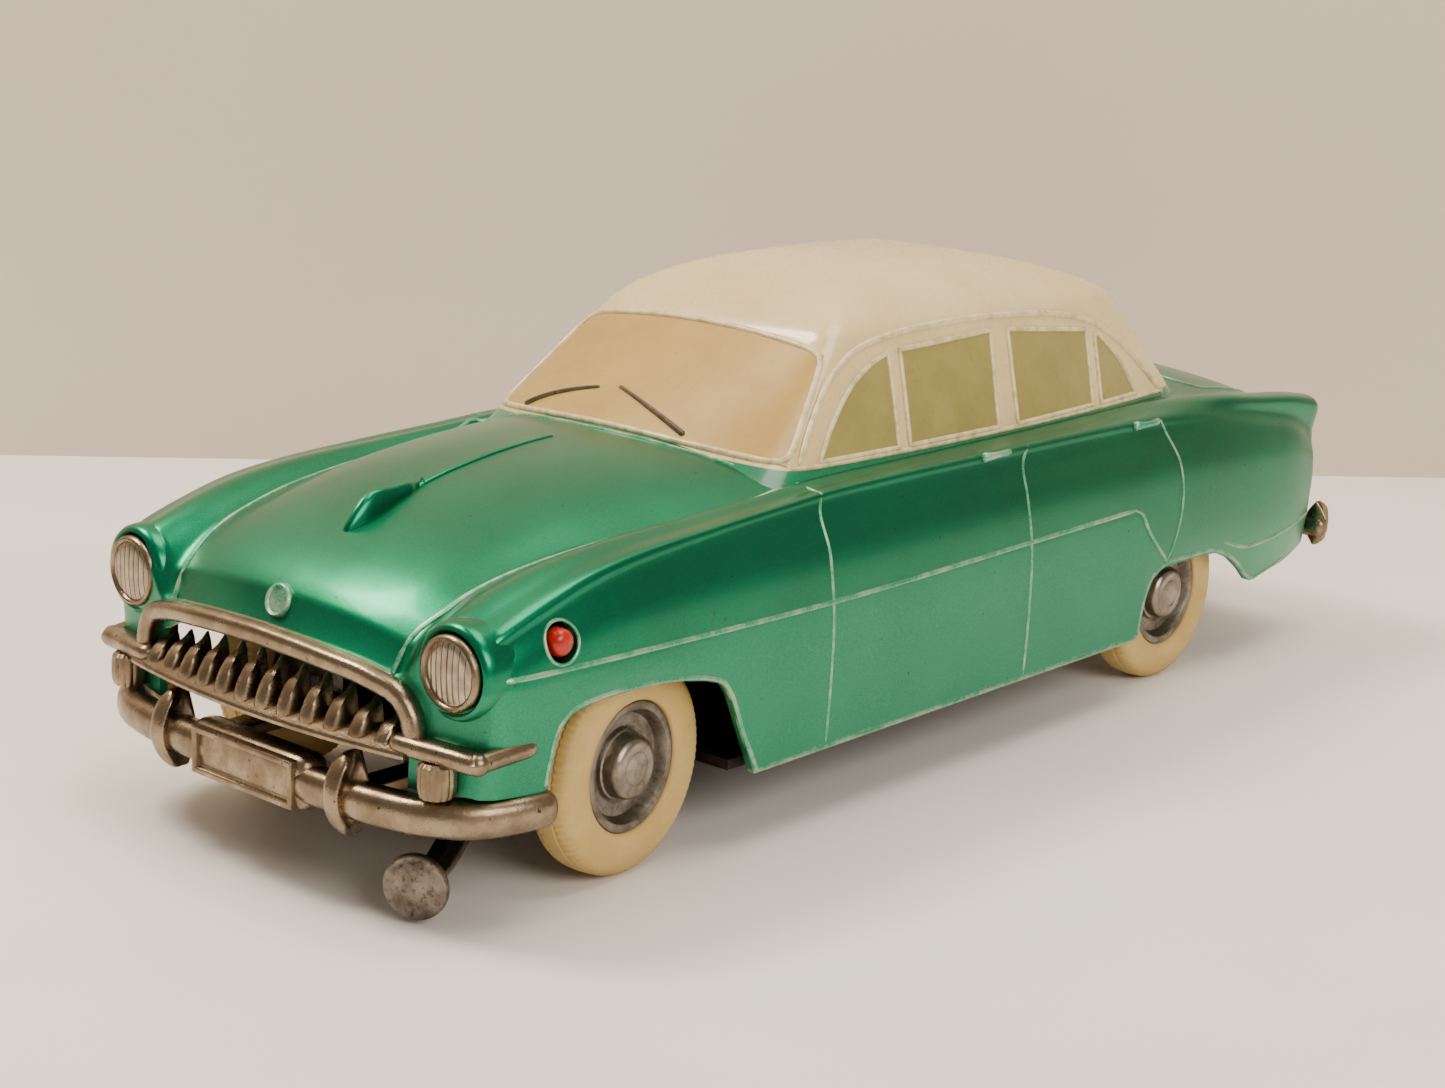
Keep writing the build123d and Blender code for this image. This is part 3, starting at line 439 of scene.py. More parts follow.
@once
def green_lacquer():
    """Metallic lacquer sprayed on a zinc casting: deep emerald with fine flake, with a paler copy of the
    green on the panels under the strip and on the low tail as painted light, a little rougher under the
    strip, and rubbed through along the sills."""
    material, tree, shader = new_material("green_metallic_lacquer_on_zinc")
    coords = add_node(tree, "TexCoord", {}, {}, "Object")
    parts = add_node(tree, "SeparateXYZ", {}, {"Vector": coords}, None)
    flake = add_node(
        tree, "TexNoise", {}, {"Vector": coords, "Scale": per_metre(0.16), "Detail": 2.0, "Roughness": 0.7}
    )
    patch = add_node(
        tree, "TexNoise", {}, {"Vector": coords, "Scale": per_metre(11.0), "Detail": 3.0, "Roughness": 0.55}
    )
    deep = add_node(
        tree, "Mix", RGBA,
        {
            0: add_node(tree, "MapRange", SMOOTH, {"Value": patch, "From Min": 0.3, "From Max": 0.7}),
            6: "006e4c", 7: "007a55"
        },
        2
    )
    deep = add_node(
        tree, "Mix", RGBA,
        {
            0: add_node(
                tree, "MapRange", SMOOTH,
                {"Value": flake, "From Min": 0.42, "From Max": 0.72, "To Min": 0.0, "To Max": 0.4}
            ),
            6: deep, 7: "009a70"
        },
        2
    )
    # paler copy of the same green for the panels under the strip: painted light
    pale = add_node(
        tree, "Mix", RGBA,
        {
            0: add_node(tree, "MapRange", SMOOTH, {"Value": patch, "From Min": 0.3, "From Max": 0.7}),
            6: "1c8460", 7: "238a66"
        },
        2
    )
    pale = add_node(
        tree, "Mix", RGBA,
        {
            0: add_node(
                tree, "MapRange", SMOOTH,
                {"Value": flake, "From Min": 0.42, "From Max": 0.72, "To Min": 0.0, "To Max": 0.45}
            ),
            6: pale, 7: "3fa882"
        },
        2
    )
    below = add_node(
        tree, "MapRange", SMOOTH, {"Value": parts["Z"], "From Min": 0.0221, "From Max": 0.0214}
    )
    knee = add_node(tree, "Math", MULTIPLY, {0: parts["Z"], 1: -1.036})
    ahead = add_node(
        tree, "MapRange", SMOOTH,
        {
            "Value": add_node(tree, "Math", ADD, {0: parts["X"], 1: knee}), "From Min": -0.0514,
            "From Max": -0.0508
        }
    )
    lower_panel = add_node(tree, "Math", MULTIPLY, {0: below, 1: ahead})
    paint = add_node(tree, "Mix", RGBA, {0: lower_panel, 6: deep, 7: pale}, 2)
    # the low tail behind the rear strip is blended towards the paler green: painted light
    tail_low = add_node(
        tree, "Math", MULTIPLY,
        {
            0: add_node(
                tree, "MapRange", SMOOTH, {"Value": parts["Z"], "From Min": 0.0190, "From Max": 0.0125}
            ),
            1: add_node(
                tree, "MapRange", SMOOTH, {"Value": parts["X"], "From Min": -0.034, "From Max": -0.040}
            )
        }
    )
    paint = add_node(
        tree, "Mix", RGBA,
        {0: add_node(tree, "Math", MULTIPLY, {0: tail_low, 1: 0.45}), 6: paint, 7: "4aa67e"}, 2
    )
    grain = add_node(
        tree, "TexNoise", {}, {"Vector": coords, "Scale": per_metre(0.45), "Detail": 5.0, "Roughness": 0.65}
    )
    sill = add_node(
        tree, "Math", ADD,
        {
            0: add_node(
                tree, "MapRange", SMOOTH, {"Value": parts["Z"], "From Min": 0.0092, "From Max": 0.0072}
            ),
            1: add_node(tree, "Math", MULTIPLY, {0: grain, 1: 0.9})
        }
    )
    paint = add_node(
        tree, "Mix", RGBA,
        {
            0: add_node(
                tree, "MapRange", SMOOTH,
                {"Value": sill, "From Min": 1.15, "From Max": 1.6, "To Min": 0.0, "To Max": 0.85}
            ),
            6: paint, 7: "b9bba6"
        },
        2
    )
    chips = add_node(
        tree, "TexNoise", {}, {"Vector": coords, "Scale": per_metre(0.55), "Detail": 2.0, "Roughness": 0.4}
    )
    paint = add_node(
        tree, "Mix", RGBA,
        {
            0: add_node(tree, "MapRange", SMOOTH, {"Value": chips, "From Min": 0.74, "From Max": 0.77}),
            6: paint, 7: "20483a"
        },
        2
    )
    tree.links.new(paint, shader.inputs["Base Color"])
    rough = add_node(
        tree, "MapRange", SMOOTH,
        {"Value": lower_panel, "From Min": 0.0, "From Max": 1.0, "To Min": 0.3, "To Max": 0.44}
    )
    tree.links.new(
        add_node(tree, "Math", ADD, {0: rough, 1: add_node(tree, "Math", MULTIPLY, {0: grain, 1: 0.06})}),
        shader.inputs["Roughness"]
    )
    set_shader(shader, Metallic=0.9, Coat_Weight=0.25, Coat_Roughness=0.12, IOR=1.5)
    tree.links.new(
        add_node(tree, "Bump", {}, {"Height": flake, "Distance": 0.02 * MM, "Strength": 0.5}),
        shader.inputs["Normal"]
    )
    return material


@once
def rubbed_and_lit_edge():
    """Raised lines of the casting, given a lighter green than the body as painted highlight, where handling
    has rubbed the lacquer down to pale zinc in patches.
    """
    material, tree, shader = new_material("green_lacquer_edge_rubbed_and_lit")
    coords = add_node(tree, "TexCoord", {}, {}, "Object")
    wear = add_node(
        tree, "TexNoise", {}, {"Vector": coords, "Scale": per_metre(1.8), "Detail": 5.0, "Roughness": 0.6}
    )
    flake = add_node(
        tree, "TexNoise", {}, {"Vector": coords, "Scale": per_metre(0.2), "Detail": 2.0, "Roughness": 0.55}
    )
    # lighter greens than the body lacquer on every raised line: painted highlight; the pale zinc mixed in
    # below is real wear
    paint = add_node(
        tree, "Mix", RGBA,
        {
            0: add_node(tree, "MapRange", SMOOTH, {"Value": flake, "From Min": 0.4, "From Max": 0.7}),
            6: "3d9f78", 7: "6fbc98"
        },
        2
    )
    paint = add_node(
        tree, "Mix", RGBA,
        {
            0: add_node(
                tree, "MapRange", SMOOTH,
                {"Value": wear, "From Min": 0.4, "From Max": 0.66, "To Min": 0.0, "To Max": 0.7}
            ),
            6: paint, 7: "b9c8b0"
        },
        2
    )
    tree.links.new(paint, shader.inputs["Base Color"])
    tree.links.new(
        add_node(
            tree, "MapRange", SMOOTH,
            {"Value": wear, "From Min": 0.4, "From Max": 0.6, "To Min": 0.34, "To Max": 0.42}
        ),
        shader.inputs["Roughness"]
    )
    set_shader(shader, Metallic=0.6)
    tree.links.new(
        add_node(tree, "Bump", {}, {"Height": flake, "Distance": 0.03 * MM, "Strength": 0.6}),
        shader.inputs["Normal"]
    )
    return material


# the green runs up to this height on the cabin in the middle, and lower at its sides, in metres
SCREEN_FOOT_Z, SCREEN_FOOT_CURVE = 0.03445, 3.125


@once
def cream_lacquer():
    """Gloss cream lacquer, a little yellowed with age, darker in blotches towards the bottom of the cabin."""
    material, tree, shader = new_material("cream_gloss_lacquer")
    coords = add_node(tree, "TexCoord", {}, {}, "Object")
    parts = add_node(tree, "SeparateXYZ", {}, {"Vector": coords}, None)
    cloud = add_node(
        tree, "TexNoise", {}, {"Vector": coords, "Scale": per_metre(14.0), "Detail": 4.0, "Roughness": 0.55}
    )
    grime = add_node(
        tree, "TexNoise", {}, {"Vector": coords, "Scale": per_metre(2.2), "Detail": 6.0, "Roughness": 0.7}
    )
    paint = add_node(
        tree, "Mix", RGBA,
        {
            0: add_node(tree, "MapRange", SMOOTH, {"Value": cloud, "From Min": 0.35, "From Max": 0.65}),
            6: "d8c189", 7: "dfca96"
        },
        2
    )
    # darker in blotches towards the bottom of the cabin
    low = add_node(
        tree, "Math", MULTIPLY,
        {
            0: add_node(
                tree, "MapRange", SMOOTH, {"Value": parts["Z"], "From Min": 0.0372, "From Max": 0.0325}
            ),
            1: add_node(tree, "MapRange", SMOOTH, {"Value": grime, "From Min": 0.45, "From Max": 0.7})
        }
    )
    paint = add_node(
        tree, "Mix", RGBA, {0: add_node(tree, "Math", MULTIPLY, {0: low, 1: 0.5}), 6: paint, 7: "a8926a"}, 2
    )
    specks = add_node(
        tree, "TexNoise", {}, {"Vector": coords, "Scale": per_metre(0.7), "Detail": 2.0, "Roughness": 0.4}
    )
    paint = add_node(
        tree, "Mix", RGBA,
        {
            0: add_node(
                tree, "MapRange", SMOOTH,
                {"Value": specks, "From Min": 0.755, "From Max": 0.78, "To Min": 0.0, "To Max": 0.6}
            ),
            6: paint, 7: "8c7a58"
        },
        2
    )
    rise = add_node(
        tree, "Math", MULTIPLY,
        {0: add_node(tree, "Math", MULTIPLY, {0: parts["Y"], 1: SCREEN_FOOT_CURVE}), 1: parts["Y"]}
    )
    foot = add_node(tree, "Math", ADD, {0: rise, 1: parts["Z"]})
    paint = add_node(
        tree, "Mix", RGBA,
        {
            0: add_node(
                tree, "MapRange", SMOOTH,
                {"Value": foot, "From Min": SCREEN_FOOT_Z + 0.00006, "From Max": SCREEN_FOOT_Z - 0.00006}
            ),
            6: paint, 7: "07774f"
        },
        2
    )
    tree.links.new(paint, shader.inputs["Base Color"])
    tree.links.new(
        add_node(
            tree, "MapRange", SMOOTH,
            {"Value": grime, "From Min": 0.3, "From Max": 0.8, "To Min": 0.22, "To Max": 0.36}
        ),
        shader.inputs["Roughness"]
    )
    set_shader(shader, Coat_Weight=0.5, Coat_Roughness=0.08, IOR=1.5, Subsurface_Weight=0.0)
    tree.links.new(
        add_node(
            tree, "Bump", {},
            {
                "Height": add_node(
                    tree, "TexNoise", {},
                    {"Vector": coords, "Scale": per_metre(2.5), "Detail": 2.0, "Roughness": 0.55}
                ),
                "Distance": 0.02 * MM, "Strength": 0.25
            }
        ),
        shader.inputs["Normal"]
    )
    return material


@once
def cream_edge():
    """Cream lacquer on the raised beads, rubbed thin on top with grime gathered beside it."""
    material, tree, shader = new_material("cream_lacquer_bead")
    coords = add_node(tree, "TexCoord", {}, {}, "Object")
    wear = add_node(
        tree, "TexNoise", {}, {"Vector": coords, "Scale": per_metre(1.4), "Detail": 5.0, "Roughness": 0.65}
    )
    paint = add_node(
        tree, "Mix", RGBA,
        {
            0: add_node(
                tree, "MapRange", SMOOTH,
                {"Value": wear, "From Min": 0.4, "From Max": 0.7, "To Min": 0.0, "To Max": 0.8}
            ),
            6: "e3d2a4", 7: "a8986c"
        },
        2
    )
    tree.links.new(paint, shader.inputs["Base Color"])
    set_shader(shader, Roughness=0.32, Coat_Weight=0.3, Coat_Roughness=0.12)
    tree.links.new(
        add_node(tree, "Bump", {}, {"Height": wear, "Distance": 0.04 * MM, "Strength": 0.5}),
        shader.inputs["Normal"]
    )
    return material


def straw_paint(name, light, dark, spot):
    """Straw paint brushed on a window relief, mottled where it has worn."""
    material, tree, shader = new_material(name)
    coords = add_node(tree, "TexCoord", {}, {}, "Object")
    cloud = add_node(
        tree, "TexNoise", {}, {"Vector": coords, "Scale": per_metre(7.0), "Detail": 5.0, "Roughness": 0.6}
    )
    mottle = add_node(
        tree, "TexNoise", {}, {"Vector": coords, "Scale": per_metre(0.8), "Detail": 5.0, "Roughness": 0.7}
    )
    paint = add_node(
        tree, "Mix", RGBA,
        {
            0: add_node(tree, "MapRange", SMOOTH, {"Value": cloud, "From Min": 0.3, "From Max": 0.7}),
            6: dark, 7: light
        },
        2
    )
    paint = add_node(
        tree, "Mix", RGBA,
        {
            0: add_node(
                tree, "MapRange", SMOOTH,
                {"Value": mottle, "From Min": 0.55, "From Max": 0.75, "To Min": 0.0, "To Max": 0.4}
            ),
            6: paint, 7: spot
        },
        2
    )
    tree.links.new(paint, shader.inputs["Base Color"])
    tree.links.new(
        add_node(
            tree, "MapRange", SMOOTH,
            {"Value": mottle, "From Min": 0.3, "From Max": 0.7, "To Min": 0.28, "To Max": 0.4}
        ),
        shader.inputs["Roughness"]
    )
    set_shader(shader, Coat_Weight=0.35, Coat_Roughness=0.15)
    tree.links.new(
        add_node(tree, "Bump", {}, {"Height": mottle, "Distance": 0.03 * MM, "Strength": 0.4}),
        shader.inputs["Normal"]
    )
    return material


# the windscreen gets a lighter copy of the straw paint: painted light
@once
def lit_straw_screen():
    return straw_paint("straw_paint_screen_lighter_copy", "ba994a", "ae8c40", "8a7436")


# the side windows get a darker, greener copy of the same straw paint: painted shade
@once
def shaded_straw_window():
    return straw_paint("straw_paint_side_window_darker_copy", "9a9052", "8b8246", "645d32")


@once
def bare_zinc_and_shade():
    """Unpainted zinc inside the castings, made a dull near-black grey as painted shade for the dark insides,
    with overspray.
    """
    material, tree, shader = new_material("bare_zinc_darkened_as_painted_shade")
    coords = add_node(tree, "TexCoord", {}, {}, "Object")
    cloud = add_node(
        tree, "TexNoise", {}, {"Vector": coords, "Scale": per_metre(5.0), "Detail": 5.0, "Roughness": 0.55}
    )
    # near-black grey: bare zinc darkened as painted shade inside the arches and castings
    paint = add_node(
        tree, "Mix", RGBA,
        {
            0: add_node(tree, "MapRange", SMOOTH, {"Value": cloud, "From Min": 0.35, "From Max": 0.7}),
            6: "2a2b28", 7: "43443e"
        },
        2
    )
    tree.links.new(paint, shader.inputs["Base Color"])
    set_shader(shader, Metallic=0.5, Roughness=0.6)
    tree.links.new(
        add_node(
            tree, "Bump", {},
            {
                "Height": add_node(
                    tree, "TexNoise", {},
                    {"Vector": coords, "Scale": per_metre(0.5), "Detail": 3.0, "Roughness": 0.55}
                ),
                "Distance": 0.05 * MM, "Strength": 0.5
            }
        ),
        shader.inputs["Normal"]
    )
    return material


@once
def plated_casting():
    """Nickel plate on a zinc casting, tarnished warm brown in cloudy patches, with darker grain and pits."""
    material, tree, shader = new_material("tarnished_nickel_plate")
    coords = add_node(tree, "TexCoord", {}, {}, "Object")
    cloud = add_node(
        tree, "TexNoise", {}, {"Vector": coords, "Scale": per_metre(3.0), "Detail": 5.0, "Roughness": 0.6}
    )
    grain = add_node(
        tree, "TexNoise", {}, {"Vector": coords, "Scale": per_metre(0.3), "Detail": 4.0, "Roughness": 0.6}
    )
    pits = add_node(
        tree, "TexNoise", {}, {"Vector": coords, "Scale": per_metre(0.5), "Detail": 2.0, "Roughness": 0.4}
    )
    plate = add_node(
        tree, "Mix", RGBA,
        {
            0: add_node(tree, "MapRange", SMOOTH, {"Value": cloud, "From Min": 0.35, "From Max": 0.65}),
            6: "7d6c57", 7: "9b8b74"
        },
        2
    )
    plate = add_node(
        tree, "Mix", RGBA,
        {
            0: add_node(
                tree, "MapRange", SMOOTH,
                {"Value": grain, "From Min": 0.55, "From Max": 0.75, "To Min": 0.0, "To Max": 0.5}
            ),
            6: plate, 7: "665642"
        },
        2
    )
    plate = add_node(
        tree, "Mix", RGBA,
        {
            0: add_node(tree, "MapRange", SMOOTH, {"Value": pits, "From Min": 0.7, "From Max": 0.76}),
            6: plate, 7: "3e342a"
        },
        2
    )
    tree.links.new(plate, shader.inputs["Base Color"])
    tree.links.new(
        add_node(
            tree, "MapRange", SMOOTH,
            {"Value": cloud, "From Min": 0.3, "From Max": 0.7, "To Min": 0.36, "To Max": 0.24}
        ),
        shader.inputs["Roughness"]
    )
    set_shader(shader, Metallic=1.0)
    tree.links.new(
        add_node(
            tree, "Bump", {},
            {
                "Height": add_node(
                    tree, "Math", ADD, {0: grain, 1: add_node(tree, "Math", MULTIPLY, {0: cloud, 1: 1.4})}
                ),
                "Distance": 0.05 * MM, "Strength": 0.5
            }
        ),
        shader.inputs["Normal"]
    )
    return material


@once
def lamp_lens():
    """Fluted lens cast with the lamp, plated, with painted shade along the bottoms of the flutes."""
    material, tree, shader = new_material("plated_fluted_lens")
    coords = add_node(tree, "TexCoord", {}, {}, "Object")
    parts = add_node(tree, "SeparateXYZ", {}, {"Vector": coords}, None)
    cloud = add_node(
        tree, "TexNoise", {}, {"Vector": coords, "Scale": per_metre(1.5), "Detail": 4.0, "Roughness": 0.55}
    )
    plate = add_node(
        tree, "Mix", RGBA,
        {
            0: add_node(tree, "MapRange", SMOOTH, {"Value": cloud, "From Min": 0.3, "From Max": 0.7}),
            6: "9b8e7b", 7: "b9ad9a"
        },
        2
    )
    across = add_node(
        tree, "Math", MULTIPLY,
        {
            0: add_node(
                tree, "Math", SUBTRACT,
                {0: add_node(tree, "Math", ABSOLUTE, {0: parts["Y"], 1: 0.0}), 1: LAMP_Y * MM}
            ),
            1: pi / (FLUTE_PITCH * MM)
        }
    )
    # dark bands along the bottoms of the flutes: painted shade in the creases
    valley = add_node(
        tree, "Math", ABSOLUTE, {0: add_node(tree, "Math", SINE, {0: across, 1: 0.0}), 1: 0.0}
    )
    plate = add_node(
        tree, "Mix", RGBA,
        {
            0: add_node(
                tree, "MapRange", SMOOTH,
                {"Value": valley, "From Min": 0.45, "From Max": 0.05, "To Min": 0.0, "To Max": 0.85}
            ),
            6: plate, 7: "352d24"
        },
        2
    )
    tree.links.new(plate, shader.inputs["Base Color"])
    set_shader(shader, Metallic=0.9, Roughness=0.28)
    tree.links.new(
        add_node(tree, "Bump", {}, {"Height": cloud, "Distance": 0.03 * MM, "Strength": 0.4}),
        shader.inputs["Normal"]
    )
    return material


@once
def tyre_rubber():
    """Cream rubber, yellowed with age, with floor dirt worked into the tread, and painted shade at the bottom
    next to the floor.
    """
    material, tree, shader = new_material("aged_cream_rubber")
    coords = add_node(tree, "TexCoord", {}, {}, "Object")
    cloud = add_node(
        tree, "TexNoise", {}, {"Vector": coords, "Scale": per_metre(4.0), "Detail": 5.0, "Roughness": 0.6}
    )
    grain = add_node(
        tree, "TexNoise", {}, {"Vector": coords, "Scale": per_metre(0.4), "Detail": 4.0, "Roughness": 0.7}
    )
    paint = add_node(
        tree, "Mix", RGBA,
        {
            0: add_node(tree, "MapRange", SMOOTH, {"Value": cloud, "From Min": 0.35, "From Max": 0.7}),
            6: "c2a35f", 7: "ccb06f"
        },
        2
    )
    paint = add_node(
        tree, "Mix", RGBA,
        {
            0: add_node(
                tree, "MapRange", SMOOTH,
                {"Value": grain, "From Min": 0.55, "From Max": 0.8, "To Min": 0.0, "To Max": 0.35}
            ),
            6: paint, 7: "987739"
        },
        2
    )
    # darker band at the bottom of the tyre, next to the floor: painted shade
    low = add_node(
        tree, "MapRange", SMOOTH,
        {
            "Value": add_node(tree, "SeparateXYZ", {}, {"Vector": coords}, None)["Z"], "From Min": 0.0035,
            "From Max": 0.0, "To Min": 0.0, "To Max": 0.5
        }
    )
    paint = add_node(
        tree, "Mix", RGBA,
        {
            0: add_node(
                tree, "Math", MULTIPLY,
                {
                    0: low,
                    1: add_node(
                        tree, "MapRange", SMOOTH, {"Value": cloud, "From Min": 0.3, "From Max": 0.6}
                    )
                }
            ),
            6: paint, 7: "8c703c"
        },
        2
    )
    tree.links.new(paint, shader.inputs["Base Color"])
    set_shader(shader, Roughness=0.5, Subsurface_Weight=0.15, Subsurface_Scale=0.0012, IOR=1.45)
    shader.inputs["Subsurface Radius"].default_value = (1.0, 0.7, 0.4)
    tree.links.new(
        add_node(tree, "Bump", {}, {"Height": grain, "Distance": 0.03 * MM, "Strength": 0.5}),
        shader.inputs["Normal"]
    )
    return material


def worn_metal(name, light, dark, dirt, roughness, grain_mm, dirt_share=0.5, metallic=1.0, depth_mm=0.04):
    """Metal with a cloudy tone, dirt in its low places and a fine grain."""
    material, tree, shader = new_material(name)
    coords = add_node(tree, "TexCoord", {}, {}, "Object")
    cloud = add_node(
        tree, "TexNoise", {}, {"Vector": coords, "Scale": per_metre(2.4), "Detail": 5.0, "Roughness": 0.6}
    )
    grain = add_node(
        tree, "TexNoise", {},
        {"Vector": coords, "Scale": per_metre(grain_mm), "Detail": 4.0, "Roughness": 0.65}
    )
    metal = add_node(
        tree, "Mix", RGBA,
        {
            0: add_node(tree, "MapRange", SMOOTH, {"Value": cloud, "From Min": 0.35, "From Max": 0.65}),
            6: dark, 7: light
        },
        2
    )
    metal = add_node(
        tree, "Mix", RGBA,
        {
            0: add_node(
                tree, "MapRange", SMOOTH,
                {"Value": grain, "From Min": 0.5, "From Max": 0.72, "To Min": 0.0, "To Max": dirt_share}
            ),
            6: metal, 7: dirt
        },
        2
    )
    tree.links.new(metal, shader.inputs["Base Color"])
    low, high = roughness
    tree.links.new(
        add_node(
            tree, "MapRange", SMOOTH,
            {"Value": cloud, "From Min": 0.3, "From Max": 0.7, "To Min": high, "To Max": low}
        ),
        shader.inputs["Roughness"]
    )
    set_shader(shader, Metallic=metallic)
    tree.links.new(
        add_node(tree, "Bump", {}, {"Height": grain, "Distance": depth_mm * MM, "Strength": 0.6}),
        shader.inputs["Normal"]
    )
    return material


@once
def wheel_steel():
    # pressed steel discs: dull grey
    return worn_metal("pressed_wheel_steel", "8d867c", "6f675d", "40392f", (0.32, 0.5), 0.5, 0.6)


@once
def hub_steel():
    # hub caps: brighter, with worn high spots
    return worn_metal("worn_hub_cap_plate", "a49b90", "857b70", "524a40", (0.28, 0.42), 0.7, 0.5)


@once
def scratched_steel():
    # control pad: grey-brown steel, scratched all over its face
    return worn_metal(
        "scratched_pad_steel", "8b8278", "645b52", "352f29", (0.35, 0.55), 0.55, 0.8, depth_mm=0.14
    )


@once
def plain_steel():
    return worn_metal("bare_strip_steel", "7d766d", "5c554d", "3a2f26", (0.35, 0.5), 0.6, 0.6)


@once
def dark_steel():
    # blackened sheet steel with a little rust
    return worn_metal(
        "blackened_sheet_steel", "2e2a27", "1d1b1a", "5a3822", (0.42, 0.6), 0.7, 0.5, metallic=0.75
    )


@once
def zinc_steel():
    # bright zinc plate on small turned and pressed steel pieces
    return worn_metal("zinc_plated_steel", "b9b8b2", "a09f98", "75726a", (0.25, 0.38), 0.4, 0.4)


@once
def gear_brass():
    # cut sheet brass, dulled
    return worn_metal("cut_sheet_brass", "c9a25a", "ab8446", "6d5228", (0.25, 0.4), 0.5, 0.4)


@once
def spring_steel():
    # blued spring steel
    return worn_metal("blued_spring_steel", "4a5566", "343b49", "2a2622", (0.25, 0.35), 0.5, 0.4)


@once
def red_plastic():
    """Glossy red plastic with a faint cloud."""
    material, tree, shader = new_material("glossy_red_plastic")
    coords = add_node(tree, "TexCoord", {}, {}, "Object")
    cloud = add_node(
        tree, "TexNoise", {}, {"Vector": coords, "Scale": per_metre(0.8), "Detail": 4.0, "Roughness": 0.55}
    )
    paint = add_node(
        tree, "Mix", RGBA,
        {
            0: add_node(tree, "MapRange", SMOOTH, {"Value": cloud, "From Min": 0.3, "From Max": 0.7}),
            6: "9c1408", 7: "b8220f"
        },
        2
    )
    tree.links.new(paint, shader.inputs["Base Color"])
    tree.links.new(
        add_node(
            tree, "MapRange", SMOOTH,
            {"Value": cloud, "From Min": 0.3, "From Max": 0.7, "To Min": 0.2, "To Max": 0.32}
        ),
        shader.inputs["Roughness"]
    )
    set_shader(shader, IOR=1.49)
    tree.links.new(
        add_node(tree, "Bump", {}, {"Height": cloud, "Distance": 0.03 * MM, "Strength": 0.3}),
        shader.inputs["Normal"]
    )
    return material


NODE_MATERIALS = {
    "base_plate": dark_steel, "front_beam": dark_steel, "mainspring": spring_steel, "stop_lever": zinc_steel,
    "great_wheel": gear_brass, "second_pinion": gear_brass, "second_wheel": gear_brass,
        "idler_gear": gear_brass,
    "axle_pinion": gear_brass, "governor_pinion": gear_brass, "governor_wheel": gear_brass,
    "star_pinion": gear_brass, "star_wheel": gear_brass,
}


def finish_frame_nodes(hidden):
    """Give every CAD node that still shows its real finish."""
    for name in frame["nodes"]:
        if name in hidden:
            continue
        piece = frame["nodes"][name]
        material = NODE_MATERIALS.get(name, zinc_steel)()
        for slot in piece.material_slots:
            slot.material = material
        if not piece.material_slots:
            piece.data.materials.append(material)


# ---- shapes shared by many pieces ---------------------------------------
def signed_power(value, power):
    return (1 if value >= 0 else -1) * abs(value) ** power


def bar(name, path, half_width, half_height, up=(0, 0, 1), scales=None, squareness=1.0, sides=16, dome=1.0):
    """Solid bar with a rounded section along a path, its ends closed round."""
    path = [Vector(place) for place in path]
    last = len(path) - 1
    scales = scales or [1.0] * (last + 1)
    rows = []

    def ring(place, tangent, scale):
        side = tangent.cross(Vector(up)).normalized()
        lift = side.cross(tangent).normalized()
        points = []
        for step in range(sides + 1):
            turn = 2 * pi * step / sides
            points.append(
                place + side * (half_width * scale * signed_power(cos(turn), squareness))
                + lift * (half_height * scale * signed_power(sin(turn), squareness))
            )
        return points

    reach = dome * min(half_width, half_height)
    for spot, place in enumerate(path):
        tangent = (path[min(spot + 1, last)] - path[max(spot - 1, 0)]).normalized()
        if spot == 0:
            for turn in (90, 65, 40, 20):
                behind = place - tangent * (reach * scales[0] * sin(radians(turn)))
                rows.append(ring(behind, tangent, scales[0] * cos(radians(turn))))
        rows.append(ring(place, tangent, scales[spot]))
        if spot == last:
            for turn in (20, 40, 65, 90):
                beyond = place + tangent * (reach * scales[last] * sin(radians(turn)))
                rows.append(ring(beyond, tangent, scales[last] * cos(radians(turn))))
    return sheet_from_rows(name, rows)


def turned(name, profile, centre, axis, steps=64, shape=None):
    """Piece turned about an axis: the profile holds radius and place along the axis."""
    axis = Vector(axis).normalized()
    across = axis.cross(Vector((0, 0, 1)) if abs(axis.z) < 0.9 else Vector((1, 0, 0))).normalized()
    over = across.cross(axis)
    rows = []
    for radius, along in profile:
        row = []
        for step in range(steps + 1):
            turn = 2 * pi * (step % steps) / steps
            reach = radius if shape is None else shape(radius, along, step % steps)
            row.append(Vector(centre) + axis * along + (across * cos(turn) + over * sin(turn)) * reach)
        rows.append(row)
    return sheet_from_rows(name, rows)


def block(name, low, high, round_edge, segments=3):
    """Block between two corners with rounded edges."""
    low, high = Vector(low), Vector(high)
    clear_selection()
    bpy.ops.mesh.primitive_cube_add(size=1.0, location=(low + high) * 0.5 * MM, scale=(high - low) * MM)
    piece = bpy.context.object
    piece.name = name
    bpy.ops.object.transform_apply(location=True, rotation=True, scale=True)
    modify(piece, "BEVEL", width=round_edge * MM, segments=segments, limit_method="ANGLE")
    return piece


def joined(name, pieces):
    """Several meshes made one piece."""
    clear_selection()
    for piece in pieces:
        piece.select_set(True)
    bpy.context.view_layer.objects.active = pieces[0]
    if len(pieces) > 1:
        bpy.ops.object.join()
    pieces[0].name = name
    return pieces[0]


def both_sides(piece):
    """Add the same shape on the other side of the car."""
    modify(piece, "MIRROR", use_axis=(False, True, False), use_mirror_merge=False)
    return piece


def cut(piece, cutter, operation="DIFFERENCE"):
    """Cut one solid with another, which is then removed."""
    modify(piece, "BOOLEAN", operation=operation, object=cutter, solver="EXACT")
    bpy.data.objects.remove(cutter)


def finish_piece(piece, body, material, angle=40, replaces=()):
    """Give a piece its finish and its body."""
    if not piece.data.materials:
        piece.data.materials.append(material)
    smooth(piece, angle)
    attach(piece, body)
    if replaces:
        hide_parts(*replaces)
    return piece


